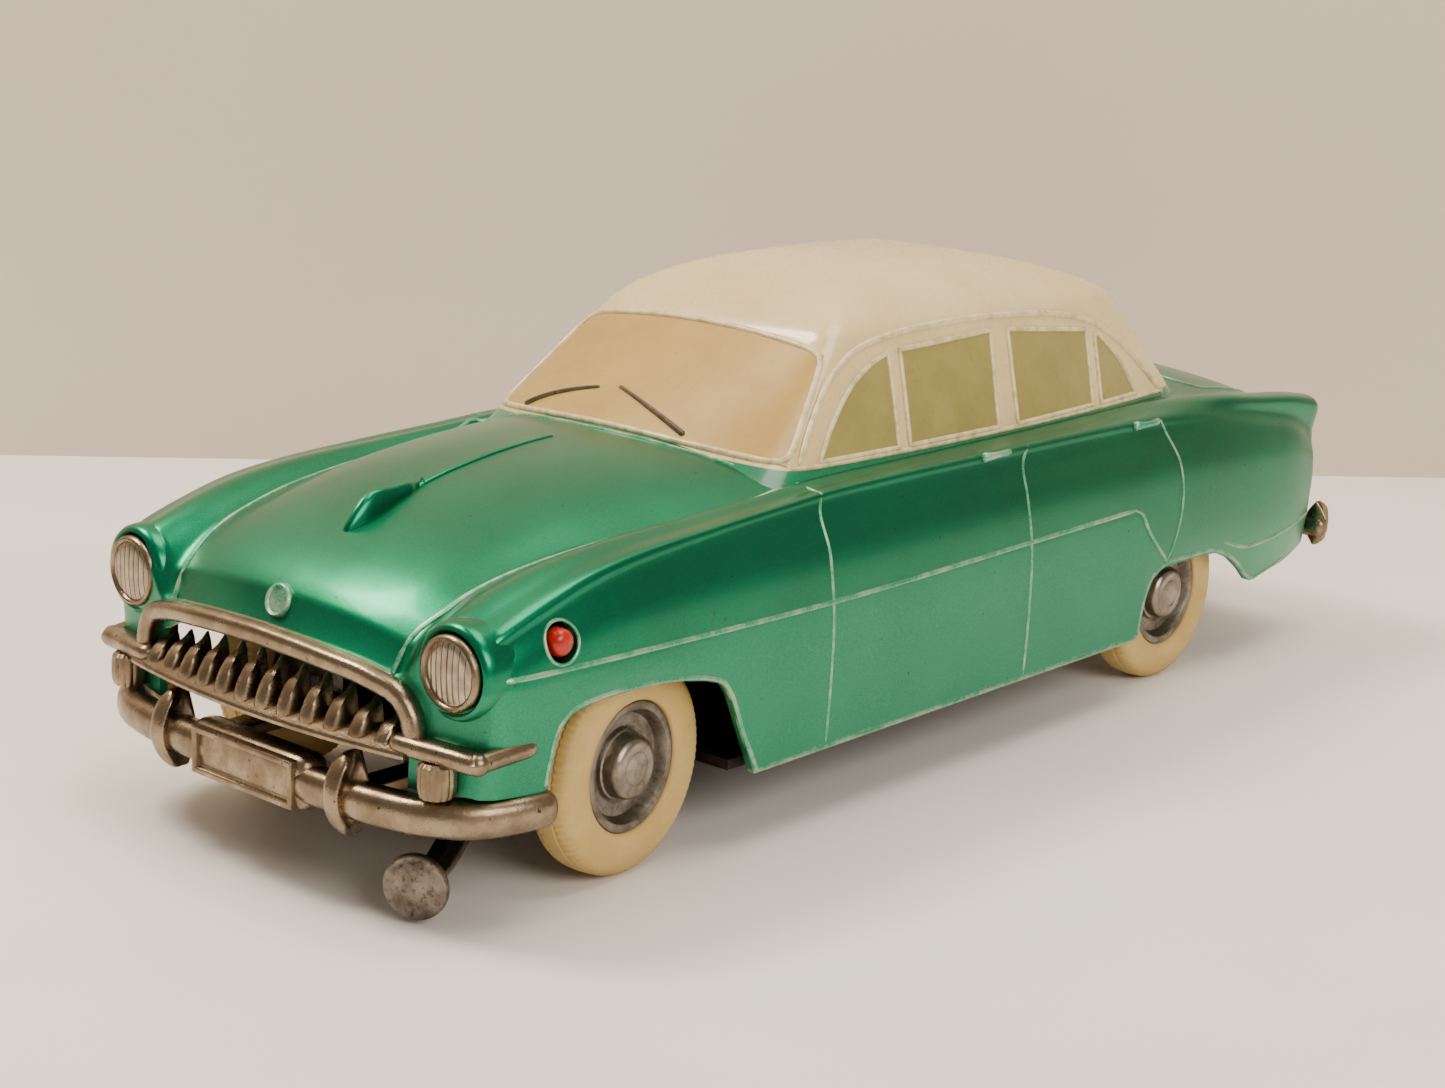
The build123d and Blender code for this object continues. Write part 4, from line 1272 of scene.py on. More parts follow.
# ---- lines laid on a surface --------------------------------------------
VIEW_FROM = {
    "left": (lambda a, b: (a, 60.0, b), (0, -1, 0)),
    "top": (lambda a, b: (a, b, 80.0), (0, 0, -1)),
    "front": (lambda a, b: (120.0, a, b), (-1, 0, 0)),
    "back": (lambda a, b: (-120.0, a, b), (1, 0, 0)),
}


def surface_of(piece):
    return BVHTree.FromObject(piece, bpy.context.evaluated_depsgraph_get())


def laid(tree, side, a, b, lift=0.0):
    """Point on a surface, found by looking at it from one side."""
    start, direction = VIEW_FROM[side]
    place, normal, _, _ = tree.ray_cast(Vector(start(a, b)) * MM, Vector(direction))
    if place is None:
        place, normal, _, _ = tree.find_nearest(Vector(start(a, b)) * MM)
    if normal.dot(Vector(direction)) > 0:
        normal = -normal
    return place / MM + normal * lift


def near(tree, place, lift=0.0):
    """Nearest point of a surface, lifted off it on the side away from the car's middle."""
    spot, normal, _, _ = tree.find_nearest(Vector(place) * MM)
    spot = spot / MM
    if normal.dot(spot - Vector((-9.0, 0.0, 30.0))) < 0:
        normal = -normal
    return spot + normal * lift


def spaced(points, spacing):
    """Line through a few points, with more points at an even spacing."""
    points = [Vector(place) for place in points]
    counts = [max(int((b - a).length / spacing), 1) for a, b in zip(points, points[1:])]
    return curve_through(points, counts)


def bead(name, tree, side, points, radius, lift=0.0, spacing=0.7, thin_ends=True):
    """Raised line cast in the surface."""
    path = [laid(tree, side, p.x, p.y, lift) for p in spaced(points, spacing)]
    scales = [1.0] * len(path)
    if thin_ends:
        for spot, share in enumerate((0.45, 0.75)):
            scales[spot] = scales[-1 - spot] = share
    up = (0, 0, 1) if side == "top" else (0, 1, 0) if side == "left" else (1, 0, 0)
    return bar(name, path, radius, radius, up=up, scales=scales, sides=8)


# ---- body casting ---------------------------------------------------------
LAMP_Y, LAMP_Z = 21.5, 22.9
KNOB_X, KNOB_Z = 61.3, 24.8
WINDING_X, WINDING_Z = -4.0, 20.5
CASTING_WALL = 0.8


def make_body():
    """The main casting: one skin given its wall, with the two holes cut through."""
    skin = sheet_from_rows("body_casting", body_rows())
    skin.data.materials.append(green_lacquer())
    skin.data.materials.append(bare_zinc_and_shade())
    modify(skin, "SOLIDIFY", thickness=CASTING_WALL * MM, offset=-1.0, material_offset=1, use_rim=True)
    for centre, radius, axis in (
        ((KNOB_X, 30.0, KNOB_Z), 1.75, (0, -1, 0)), ((WINDING_X, -30.0, WINDING_Z), 2.6, (0, 1, 0)),
    ):
        profile = [(0.0, 0.0), (radius, 0.0), (radius, 9.0), (0.0, 9.0)]
        cut(skin, turned("hole_cutter", profile, centre, axis, steps=40))
    return skin


def make_lamp_cups():
    """Rounded rings of the wings that the headlamps sit in."""
    profile = [
        (3.5, -6.0), (4.3, -6.0), (4.35, -1.6), (4.25, -0.9), (4.0, -0.5), (3.7, -0.4), (3.5, -0.6),
        (3.5, -6.0)
    ]
    cup = turned("lamp_cups", profile, (70.3, LAMP_Y, LAMP_Z), (1, 0.04, 0), steps=48)
    return both_sides(cup)


STRIP_LINE = [(68.6, 22.7), (55.0, 22.4), (25.0, 21.9), (-7.4, 22.3), (-27.6, 22.6)]
SEAM_FRONT = [(23.9, 33.0), (25.2, 31.0), (25.6, 26.0), (25.4, 21.0), (25.4, 7.6)]
SEAM_MIDDLE = [(-9.7, 32.4), (-8.0, 30.6), (-7.1, 27.5), (-7.4, 22.3), (-7.7, 7.6)]
SEAM_REAR = [(-34.2, 32.2), (-35.2, 30.5), (-37.0, 26.5), (-37.4, 22.5), (-36.4, 18.5), (-34.9, 15.4)]
ARCH_FRONT = [
    (35.5, 7.6), (37.7, 11.6), (39.7, 15.8), (40.75, 17.15), (42.6, 17.9), (47.0, 18.8), (52.0, 19.2),
    (57.2, 19.2), (60.2, 18.65), (61.9, 16.95), (62.45, 14.5), (62.6, 12.6),
]
ARCH_REAR = [
    (-63.4, 10.9), (-58.0, 10.2), (-55.3, 10.0), (-53.8, 10.8), (-52.3, 12.0), (-49.6, 13.7), (-46.0, 15.0),
    (-40.0, 15.3), (-34.4, 15.2), (-32.1, 14.1), (-30.9, 11.9), (-30.1, 8.3),
]
SILL_LINE = [(-29.6, 7.55), (0.0, 7.55), (35.2, 7.55)]
SKIRT_LINE = [(-47.5, 15.7), (-53.0, 14.3), (-58.0, 14.3), (-66.3, 15.1), (-70.9, 15.7)]


def make_side_lines(tree):
    """Door seams, the strip, the arch lips and the skirt line, on both sides."""
    # the raised lines carry the lighter green of painted highlight, with rubbed wear in patches
    rubbed = rubbed_and_lit_edge()
    seams = [
        bead("seam", tree, "left", SEAM_FRONT, 0.26, -0.15),
        bead("seam", tree, "left", SEAM_MIDDLE, 0.26, -0.15),
        bead("seam", tree, "left", SEAM_REAR, 0.18, -0.04),
    ]
    strip = [
        bead("strip", tree, "left", STRIP_LINE, 0.26, -0.04),
        bead("strip", tree, "left", [(-27.4, 22.6), (-28.9, 21.9), (-29.9, 20.4),
            (-35.2, 15.3)], 0.24, -0.02),
    ]
    lips = [
        bead("lip", tree, "left", ARCH_FRONT, 0.3, -0.18, thin_ends=False),
        bead("lip", tree, "left", ARCH_REAR, 0.3, -0.18, thin_ends=False),
        bead("lip", tree, "left", SILL_LINE, 0.22, -0.1, thin_ends=False),
        bead("lip", tree, "left", SKIRT_LINE, 0.28, -0.12),
    ]
    around = [laid(tree, "left", KNOB_X + 1.85 * cos(radians(turn)), KNOB_Z + 1.85 * sin(radians(turn)), 0.0)
              for turn in range(0, 360, 10)]
    finish_piece(closed_bead("knob_hole_rim", around, 0.16), "chassis", rubbed)
    for name, pieces in (("door_seams", seams), ("side_strips", strip), ("arch_lips", lips)):
        finish_piece(both_sides(joined(name, pieces)), "chassis", rubbed)


BONNET_LINE = [
    (70.4, 14.9), (67.8, 15.5), (66.0, 16.1), (63.0, 16.6), (60.0, 17.0), (56.0, 17.6), (47.0, 18.7),
    (36.0, 19.7), (30.0, 20.2), (27.4, 20.6), (26.2, 19.8), (26.6, 18.0), (28.4, 13.5), (30.2, 8.0),
    (31.2, 0.0),
]
BOOT_LINE = [
    (-49.5, 0.0), (-49.0, 9.0), (-49.6, 15.0), (-52.5, 17.0), (-60.0, 17.0), (-67.0, 16.2), (-71.0, 15.0)
]


def make_top_lines(tree):
    """The bonnet's outline, the boot lid's outline and the spine of the bonnet."""
    bonnet = bead("bonnet", tree, "top", BONNET_LINE, 0.24, -0.02, thin_ends=False)
    boot = bead("boot", tree, "top", BOOT_LINE, 0.2, -0.04, thin_ends=False)
    finish_piece(
        both_sides(joined("bonnet_and_boot_lines", [bonnet, boot])), "chassis",
        rubbed_and_lit_edge()
    )
    spine_path = [laid(tree, "top", x, 0.0, -0.06) for x in range(54, 36, -1)]
    tapers = [blend_value(1.0, 0.55, step / 17) for step in range(18)]
    spine = bar("spine", spine_path, 0.42, 0.36, scales=tapers, sides=10)
    # x, half width and height of the fin on the bonnet
    fin = [
        (62.9, 0.25, 0.2), (62.5, 0.5, 0.7), (61.8, 0.7, 1.35), (60.9, 0.82, 1.9), (59.8, 0.82, 2.15),
        (58.4, 0.74, 1.75), (57.0, 0.62, 1.3), (55.5, 0.5, 0.95), (53.6, 0.42, 0.6),
    ]
    rows = []
    for x, half_width, height in fin:
        base = laid(tree, "top", x, 0.0).z - 0.25
        row = []
        for step in range(15):
            turn = pi * step / 14
            row.append(Vector((x, half_width * cos(turn), base + (height + 0.25) * sin(turn) ** 0.8)))
        rows.append(row + [row[0]])
    for end, spot in ((0, 0), (-1, len(rows))):
        middle = sum(rows[end], Vector()) / len(rows[end])
        rows.insert(spot, [middle] * 16)
    ornament = joined("bonnet_spear", [sheet_from_rows("ornament", rows), spine])
    finish_piece(ornament, "chassis", green_lacquer(), angle=50)


def make_badge(tree):
    """Plain round boss on the nose, with nothing on it."""
    place = laid(tree, "front", 0.0, 24.7)
    ahead = laid(tree, "front", 0.0, 25.2) - laid(tree, "front", 0.0, 24.2)
    axis = Vector((ahead.z, 0.0, -ahead.x)).normalized()
    profile = [
        (0.0, 0.12), (0.5, 0.14), (0.95, 0.05), (1.15, 0.08), (1.25, 0.26), (1.38, 0.32), (1.5, 0.24),
        (1.58, 0.0), (1.58, -0.5), (0.0, -0.5),
    ]
    boss = turned("nose_boss", profile, place, axis, steps=40)
    finish_piece(boss, "chassis", rubbed_and_lit_edge())


def make_handles(tree):
    """Door handles cast near the tops of the doors."""
    handles = []
    for x, z in ((-3.2, 31.7), (-31.6, 31.4)):
        path = [laid(tree, "left", x + along, z, lift) for along, lift in (
            (2.0, 0.1), (1.5, 0.42), (0.5, 0.5), (-0.8, 0.5), (-1.8, 0.42), (-2.2, 0.1))]
        handles.append(
            bar("handle", path, 0.42, 0.34, up=(0, 1, 0), scales=[1.3, 1.0, 0.8, 0.85, 0.9, 0.6], sides=10)
        )
    finish_piece(both_sides(joined("door_handles", handles)), "chassis", rubbed_and_lit_edge())


# ---- cabin -----------------------------------------------------------------
def make_cabin():
    """Upper casting: roof and pillars in one skin with a wall."""
    skin = sheet_from_rows("roof_casting", cabin_rows())
    modify(skin, "SMOOTH", factor=0.5, iterations=5)
    skin.data.materials.append(cream_lacquer())
    skin.data.materials.append(bare_zinc_and_shade())
    modify(skin, "SOLIDIFY", thickness=CASTING_WALL * MM, offset=-1.0, material_offset=1, use_rim=True)
    return skin


def screen_place(across, z, front):
    """Point of the windscreen or the rear window before it is laid on the cabin."""
    if front:
        centre_x = 29.6 - 1.515 * (z - 34.5)
        corner = Vector((25.1 - 1.028 * (z - 33.35), 20.0 - 0.418 * (z - 33.35)))
        reach, power = 0.3, 2.4
    else:
        centre_x = -50.5 + 1.21 * (z - 34.9)
        corner = Vector((-46.0 + 0.663 * (z - 32.8), 19.0 - 0.4 * (z - 32.8)))
        reach, power = 2.6, 2.2
    y = across * (corner.y - reach)
    share = abs(y / corner.y)
    return Vector((centre_x - (centre_x - corner.x) * share**power, y, z))


def screen_edges(across, front):
    """Heights of a screen's lower and upper edge at a place across it."""
    if front:
        return 35.0 - 1.25 * abs(across) ** 2, 44.0 - 1.1 * abs(across) ** 2.2
    return 36.6 - 0.6 * abs(across) ** 2, 43.4 - 0.9 * abs(across) ** 2.5


def screen_outline(tree, front, lift):
    """Closed line round a screen, with rounded corners."""
    line = []
    steps = 26
    for step in range(steps + 1):
        across = -1 + 2 * step / steps
        low, high = screen_edges(across, front)
        line.append(near(tree, screen_place(across * 0.995, low, front), lift))
    rise = 12
    low, high = screen_edges(1.0, front)
    line += [
        near(
            tree, screen_place(1.0, blend_value(low, high, step / rise), front), lift
        ) for step in range(1, rise)
    ]
    for step in range(steps + 1):
        across = 1 - 2 * step / steps
        low, high = screen_edges(across, front)
        line.append(near(tree, screen_place(across * 0.995, high, front), lift))
    low, high = screen_edges(-1.0, front)
    line += [
        near(
            tree, screen_place(-1.0, blend_value(high, low, step / rise), front), lift
        ) for step in range(1, rise)
    ]
    for _ in range(2):
        line = [
            line[spot - 1] * 0.25 + line[spot] * 0.5 + line[(spot + 1) % len(line)] * 0.25
            for spot in range(len(line))
        ]
    return line


def closed_bead(name, line, radius, sides=8):
    """Raised line that meets its own start."""
    count = len(line)
    centre = sum(line, Vector()) / count
    rows = []
    for spot in range(count + 1):
        place = line[spot % count]
        tangent = (line[(spot + 1) % count] - line[spot % count - 1]).normalized()
        out = (place - centre).normalized()
        side = tangent.cross(out).normalized()
        lift = side.cross(tangent).normalized()
        rows.append([
            place + side * (radius * cos(2 * pi * step / sides))
                + lift * (radius * sin(2 * pi * step / sides))
            for step in range(sides + 1)
        ])
    return sheet_from_rows(name, rows)


def make_screens(tree):
    """Painted windscreen and rear window with the raised beads round them."""
    panes, beads = [], []
    for front in (True, False):
        rows = []
        for level in range(17):
            row = []
            for step in range(41):
                across = -1 + 2 * step / 40
                low, high = screen_edges(across, front)
                z = blend_value(low, high, level / 16)
                row.append(near(tree, screen_place(across, z, front), 0.1))
            rows.append(row)
        pane = sheet_from_rows("screen", rows)
        modify(pane, "SOLIDIFY", thickness=0.3 * MM, offset=-1.0)
        panes.append(pane)
        beads.append(closed_bead("screen_bead", screen_outline(tree, front, 0.05), 0.36))
    finish_piece(joined("painted_screens", panes), "chassis", lit_straw_screen(), angle=50)
    finish_piece(joined("screen_beads", beads), "chassis", cream_edge(), angle=60)


# each side window: its front edge and its rear edge, from the bottom up, as x and z
SIDE_WINDOWS = {
    "vent": ([(20.9, 33.6), (17.6, 36.8), (13.6, 39.8), (9.8, 41.6), (7.4, 42.3)], [(8.8, 33.5),
        (7.0, 42.4)]),
    "front_door": ([(7.0, 33.5), (5.2, 42.5)], [(-8.3, 33.4), (-10.2, 43.0)]),
    "rear_door": ([(-11.9, 33.3), (-13.4, 42.8)], [(-27.0, 33.4), (-29.0, 41.2)]),
    "quarter": ([(-28.8, 33.4), (-30.6, 40.4)], [(-36.6, 33.5), (-34.6, 37.6), (-31.6, 40.4)]),
}
RAIL_LINE = [
    (23.4, 33.8), (19.8, 37.4), (16.0, 40.7), (11.8, 42.9), (6.5, 43.9), (-2.0, 44.4), (-13.6, 44.2),
    (-23.9, 43.3), (-31.0, 41.7), (-35.8, 39.2), (-39.3, 36.2), (-42.6, 32.9),
]
WAIST_LINE = [(24.4, 33.35), (10.0, 33.15), (-10.0, 33.05), (-30.0, 33.05), (-43.0, 33.15)]


def make_side_windows(tree):
    """Painted panes in low relief, the beads round them and the rail above."""
    panes, beads = [], []
    for name, (front_edge, rear_edge) in SIDE_WINDOWS.items():
        levels, columns = 16, 20
        edges = []
        for edge in (front_edge, rear_edge):
            per_span = levels // (len(edge) - 1)
            edges.append(curve_through([Vector(p) for p in edge], [per_span] * (len(edge) - 1)))
        rows = []
        for front_point, rear_point in zip(*edges):
            row = [front_point.lerp(rear_point, step / columns) for step in range(columns + 1)]
            rows.append([laid(tree, "left", p.x, p.y, 0.1) for p in row])
        pane = sheet_from_rows(name, rows)
        modify(pane, "SOLIDIFY", thickness=0.3 * MM, offset=-1.0)
        panes.append(pane)
        around = edges[0] + [edges[0][-1].lerp(edges[1][-1], step / 8) for step in range(1, 8)]
        around += list(reversed(edges[1])) + [
            edges[1][0].lerp(edges[0][0], step / 12) for step in range(1, 12)
        ]
        line = [laid(tree, "left", p.x, p.y, 0.02) for p in around]
        kept = [line[0]]
        for place in line[1:]:
            if (place - kept[-1]).length > 0.25:
                kept.append(place)
        beads.append(closed_bead("frame", kept, 0.3))
    beads.append(bead("waist", tree, "left", WAIST_LINE, 0.28, -0.05))
    finish_piece(
        both_sides(joined("painted_side_windows", panes)), "chassis", shaded_straw_window(),
        angle=50
    )
    finish_piece(both_sides(joined("window_beads", beads)), "chassis", cream_edge(), angle=60)
    rail = bead("drip_rails", tree, "left", RAIL_LINE, 0.36, 0.0)
    finish_piece(both_sides(rail), "chassis", cream_edge(), angle=60)


def make_wipers(tree):
    """Two wipers cast on the windscreen."""
    pieces = []
    for line in (
        [(26.6, -13.2, 34.3), (25.9, -11.8, 34.9), (24.9, -8.5, 35.8), (24.2, -5.3, 36.4)],
        [(27.0, 8.3, 34.4), (26.0, 4.6, 35.3), (24.9, 0.6, 36.3), (24.0, -2.6, 37.0)],
    ):
        path = [near(tree, place, 0.95) for place in spaced(line, 0.8)]
        tapers = [blend_value(1.25, 0.7, spot / (len(path) - 1)) for spot in range(len(path))]
        pieces.append(bar("arm", path, 0.27, 0.26, scales=tapers, sides=8))
        pivot = near(tree, line[0], -0.2)
        ahead = near(tree, line[0], 0.8) - pivot
        pieces.append(
            turned(
                "pivot", [(0.0, 0.85), (0.4, 0.8), (0.55, 0.5), (0.6, 0.0), (0.0, 0.0)], pivot, ahead, 20
            )
        )
    finish_piece(joined("wipers", pieces), "chassis", plain_steel())


# ---- plated castings -------------------------------------------------------
BAR_Z = 10.3
PLATE_HALF_WIDTH = 6.9
OVERRIDER_Y = 11.9
BUMPER_PATH = [
    (62.6, 24.9, BAR_Z), (65.6, 24.3, BAR_Z), (68.6, 23.0, BAR_Z), (70.9, 20.2, BAR_Z), (72.0, 16.5, BAR_Z),
    (72.7, 10.0, BAR_Z), (72.9, 0.0, BAR_Z),
]


def overrider(name, x_front, x_back, y, low_z, high_z, ahead=1.0):
    """Upright crescent blade with hollow flanks that grow out of the bar."""
    rows = []
    levels = 22
    for level in range(levels + 1):
        share = level / levels
        z = blend_value(low_z, high_z, share)
        swell = max(sin(pi * share), 0.0)
        front = blend_value(x_back, x_front, 0.42 + 0.58 * swell**0.75)
        tip = min(1.0, 0.25 + 1.5 * swell**0.8)
        root = 1.5 * swell**1.6
        half = [
            (front, 0.0), (front, 0.5 * tip), (front - 0.22, 0.95 * tip), (front - 0.55, 0.92 * tip),
            (blend_value(front, x_back, 0.5), 0.42 * tip + 0.1 * root),
            (blend_value(front, x_back, 0.8), 0.45 * tip + 0.45 * root),
            (x_back, 0.5 * tip + root), (x_back - 0.3, 0.0),
        ]
        ring = half + [(x, -side) for x, side in reversed(half[1:-1])] + half[:1]
        rows.append([Vector((ahead * x, y + side, z)) for x, side in ring])
    for spot, row in ((0, rows[0]), (len(rows) + 1, rows[-1])):
        middle = sum(row[:-1], Vector()) / (len(row) - 1)
        rows.insert(spot, [middle] * len(row))
    piece = sheet_from_rows(name, rows)
    modify(piece, "SUBSURF", levels=2, render_levels=2)
    return piece


def framed_plate(name, low, high, rim, recess, facing):
    """Plate block with a raised rim round a blank sunken field."""
    low, high = Vector(low), Vector(high)
    clear_selection()
    bpy.ops.mesh.primitive_cube_add(size=1.0, location=(low + high) * 0.5 * MM, scale=(high - low) * MM)
    piece = bpy.context.object
    piece.name = name
    bpy.ops.object.transform_apply(location=True, rotation=True, scale=True)
    middle = (low.x + high.x) * 0.5 * MM
    for vertex in piece.data.vertices:
        vertex.select = (vertex.co.x - middle) * facing > 0
    for edge in piece.data.edges:
        edge.select = all(piece.data.vertices[spot].select for spot in edge.vertices)
    for face in piece.data.polygons:
        face.select = all(piece.data.vertices[spot].select for spot in face.vertices)
    bpy.ops.object.mode_set(mode="EDIT")
    bpy.ops.mesh.select_mode(type="FACE")
    bpy.ops.mesh.inset(thickness=rim * MM)
    bpy.ops.mesh.extrude_region_move(TRANSFORM_OT_translate={"value": (-facing * recess * MM, 0, 0)})
    bpy.ops.object.mode_set(mode="OBJECT")
    modify(piece, "BEVEL", width=0.18 * MM, segments=2, limit_method="ANGLE")
    return piece


def make_front_bumper():
    """Wrap-round bar, blank plate block, two crescent overriders and the brackets behind."""
    half = spaced(BUMPER_PATH, 1.2)
    path = half + [Vector((p.x, -p.y, p.z)) for p in reversed(half[:-1])]
    scales = [1.0 - 0.12 * ease(8.0 - abs(p.y), 0.0, 4.0) for p in path]
    pieces = [bar("bar", path, 1.6, 1.75, scales=scales, squareness=0.85, sides=20)]
    pieces.append(framed_plate(
        "plate", (72.2, -PLATE_HALF_WIDTH, 8.1), (74.7, PLATE_HALF_WIDTH, 12.5), 0.6, 0.45, 1))
    pieces.append(
        block("plate_body", (70.9, -PLATE_HALF_WIDTH - 1.1, 7.8), (74.3, PLATE_HALF_WIDTH + 1.1, 12.9), 1.3)
    )
    for side in (1, -1):
        pieces.append(overrider("overrider", 74.95, 71.3, side * OVERRIDER_Y, 6.75, 14.4))
        pieces.append(block("bracket", (59.8, side * 10.0 - 1.5, 9.1), (72.2, side * 10.0 + 1.5, 10.3), 0.2))
    finish_piece(joined("front_bumper_casting", pieces), "chassis", plated_casting(),
                 angle=38, replaces=("front_bumper",))


ARCH_PATH = [
    (70.9, 18.3, 16.4), (70.9, 17.9, 18.4), (71.1, 16.8, 20.0), (71.6, 14.0, 21.0), (72.2, 8.5, 21.7),
    (72.5, 0.0, 22.1),
]
TOOTH_COUNT = 12
TOOTH_SPAN = 15.6


def shelf_front_x(y):
    return 74.3 - 3.3 * (abs(y) / 24.8) ** 2


def make_shelf():
    """Sloping shelf that the teeth stand on, with a thin lip in front."""
    rows = []
    steps = 48
    for step in range(steps + 1):
        y = -18.6 + 37.2 * step / steps
        front = shelf_front_x(y)
        back = front - 3.6 + 1.2 * (abs(y) / 24.8) ** 2
        rows.append([Vector((x, y, z)) for x, z in (
            (front, 15.2), (front + 0.05, 15.5), (front - 0.1, 15.75), (front - 0.6, 15.95),
            (front - 0.8, 16.05),
            (back + 0.3, 16.9), (back, 16.8), (back, 15.5), (front - 0.9, 15.25), (front, 15.2))])
    for end, spot in ((0, 0), (-1, steps + 2)):
        middle = sum(rows[end][:-1], Vector()) / (len(rows[end]) - 1)
        rows.insert(spot, [middle] * len(rows[end]))
    return sheet_from_rows("shelf", rows)


def make_tooth(y):
    """Wedge that stands on the shelf and climbs back under the arch."""
    front = shelf_front_x(y) - 0.45
    crown = 20.5 - 1.9 * (abs(y) / TOOTH_SPAN) ** 2
    # how far back, half width, half width of the ridge, height as a share of the crown
    stations = [
        (0.0, 0.3, 0.2, 0.03), (0.1, 0.62, 0.42, 0.14), (0.4, 0.8, 0.56, 0.32), (0.9, 0.86, 0.6, 0.5),
        (1.45, 0.86, 0.56, 0.66), (1.8, 0.84, 0.4, 0.72), (2.3, 0.82, 0.16, 0.84), (2.8, 0.74, 0.1, 0.98),
        (3.05, 0.64, 0.1, 1.0), (3.2, 0.4, 0.08, 0.7), (3.25, 0.2, 0.05, 0.3),
    ]
    rows = []
    for back, half_width, ridge, share in stations:
        top = blend_value(15.9, crown, share)
        x = front - back
        shoulder = (ridge + half_width) / 2
        rows.append([Vector((x, y + side, z)) for side, z in (
            (-half_width, 15.6), (-half_width, blend_value(15.9, top, 0.35)),
            (-shoulder, blend_value(15.9, top, 0.78)), (-ridge, blend_value(15.9, top, 0.96)), (0.0, top),
            (ridge, blend_value(15.9, top, 0.96)), (shoulder, blend_value(15.9, top, 0.78)),
            (half_width, blend_value(15.9, top, 0.35)), (half_width, 15.6), (-half_width, 15.6))])
    for end, spot in ((0, 0), (-1, len(rows) + 1)):
        middle = sum(rows[end][:-1], Vector()) / (len(rows[end]) - 1)
        rows.insert(spot, [middle] * len(rows[end]))
    return sheet_from_rows("tooth", rows)


def make_front_grille():
    """Arch, shelf, teeth, tapered arms with ball ends, and the ribbed side lamps."""
    half = spaced(ARCH_PATH, 0.8)
    path = half + [Vector((p.x, -p.y, p.z)) for p in reversed(half[:-1])]
    pieces = [
        bar("arch", path, 0.95, 0.95, up=(1, 0, 0), squareness=0.8, sides=16),
        bar("arch_lip", [p + Vector((-0.55, 0, 0.62)) for p in path[6:-6]], 0.38, 0.38, up=(1, 0, 0),
            sides=10),
        make_shelf(),
    ]
    pieces += [
        make_tooth(-TOOTH_SPAN + 2 * TOOTH_SPAN * step / (TOOTH_COUNT - 1)) for step in range(TOOTH_COUNT)
    ]
    arm = bar(
        "arm", spaced([(71.3, 17.2, 16.15), (70.9, 20.0, 16.1), (70.2, 23.2, 15.95),
            (69.9, 24.6, 15.85)], 0.8),
        1.25, 0.95, scales=None, squareness=0.8, sides=16,
    )
    ball = turned("ball", [(1.02 * sin(radians(turn)), 1.02 * cos(radians(turn)))
        for turn in range(0, 181, 15)],
                  (69.9, 24.85, 15.85), (1, 0, 0), 24)
    dimple = turned("ball_end", [(0.0, 1.02), (0.3, 1.06), (0.5, 0.98), (0.62, 0.7), (0.0, 0.7)],
                    (69.95, 24.85, 15.85), (1, 0, 0), 20)
    rod = bar(
        "rod", spaced([(69.6, 24.85, 15.9), (67.0, 25.1, 16.1), (64.6, 25.2, 16.2)], 0.8), 0.92, 0.92,
        sides=16
    )
    ribs = 14
    lamp = turned(
        "side_lamp",
        [(0.0, 15.45), (1.3, 15.4), (1.62, 15.1), (1.7, 14.6), (1.72, 13.6), (1.66, 12.8), (1.45, 12.3),
            (0.0, 12.2)],
        (70.85, 21.0, 0.0), (0, 0, 1), steps=ribs * 8,
        shape=lambda radius, along, step: radius * (1 - 0.06 * (1 - abs(sin(ribs * pi * step / (ribs * 8))))),
    )
    ends = both_sides(joined("grille_ends", [arm, ball, dimple, rod, lamp]))
    pieces.append(ends)
    finish_piece(joined("front_grille_casting", pieces), "chassis", plated_casting(),
                 angle=35, replaces=("front_grille",))


def make_rear_bumper():
    """Rear bar with rounded corner blades and a blank plate block."""
    half = spaced([(-73.3, 25.0, 13.2), (-73.55, 20.0, 13.2), (-73.7, 10.0, 13.2), (-73.75, 0.0, 13.2)], 1.2)
    path = half + [Vector((p.x, -p.y, p.z)) for p in reversed(half[:-1])]
    pieces = [bar("bar", path, 1.05, 1.35, squareness=0.85, sides=16)]
    pieces.append(framed_plate("plate", (-74.85, -6.0, 11.2), (-73.2, 6.0, 15.6), 0.5, 0.3, -1))
    for side in (1, -1):
        blade = overrider("blade", 74.9, 72.8, side * 24.6, 10.95, 16.45, ahead=-1.0)
        pieces.append(blade)
    finish_piece(joined("rear_bumper_casting", pieces), "chassis", plated_casting(),
                 angle=38, replaces=("rear_bumper",))


FLUTE_PITCH = 0.68


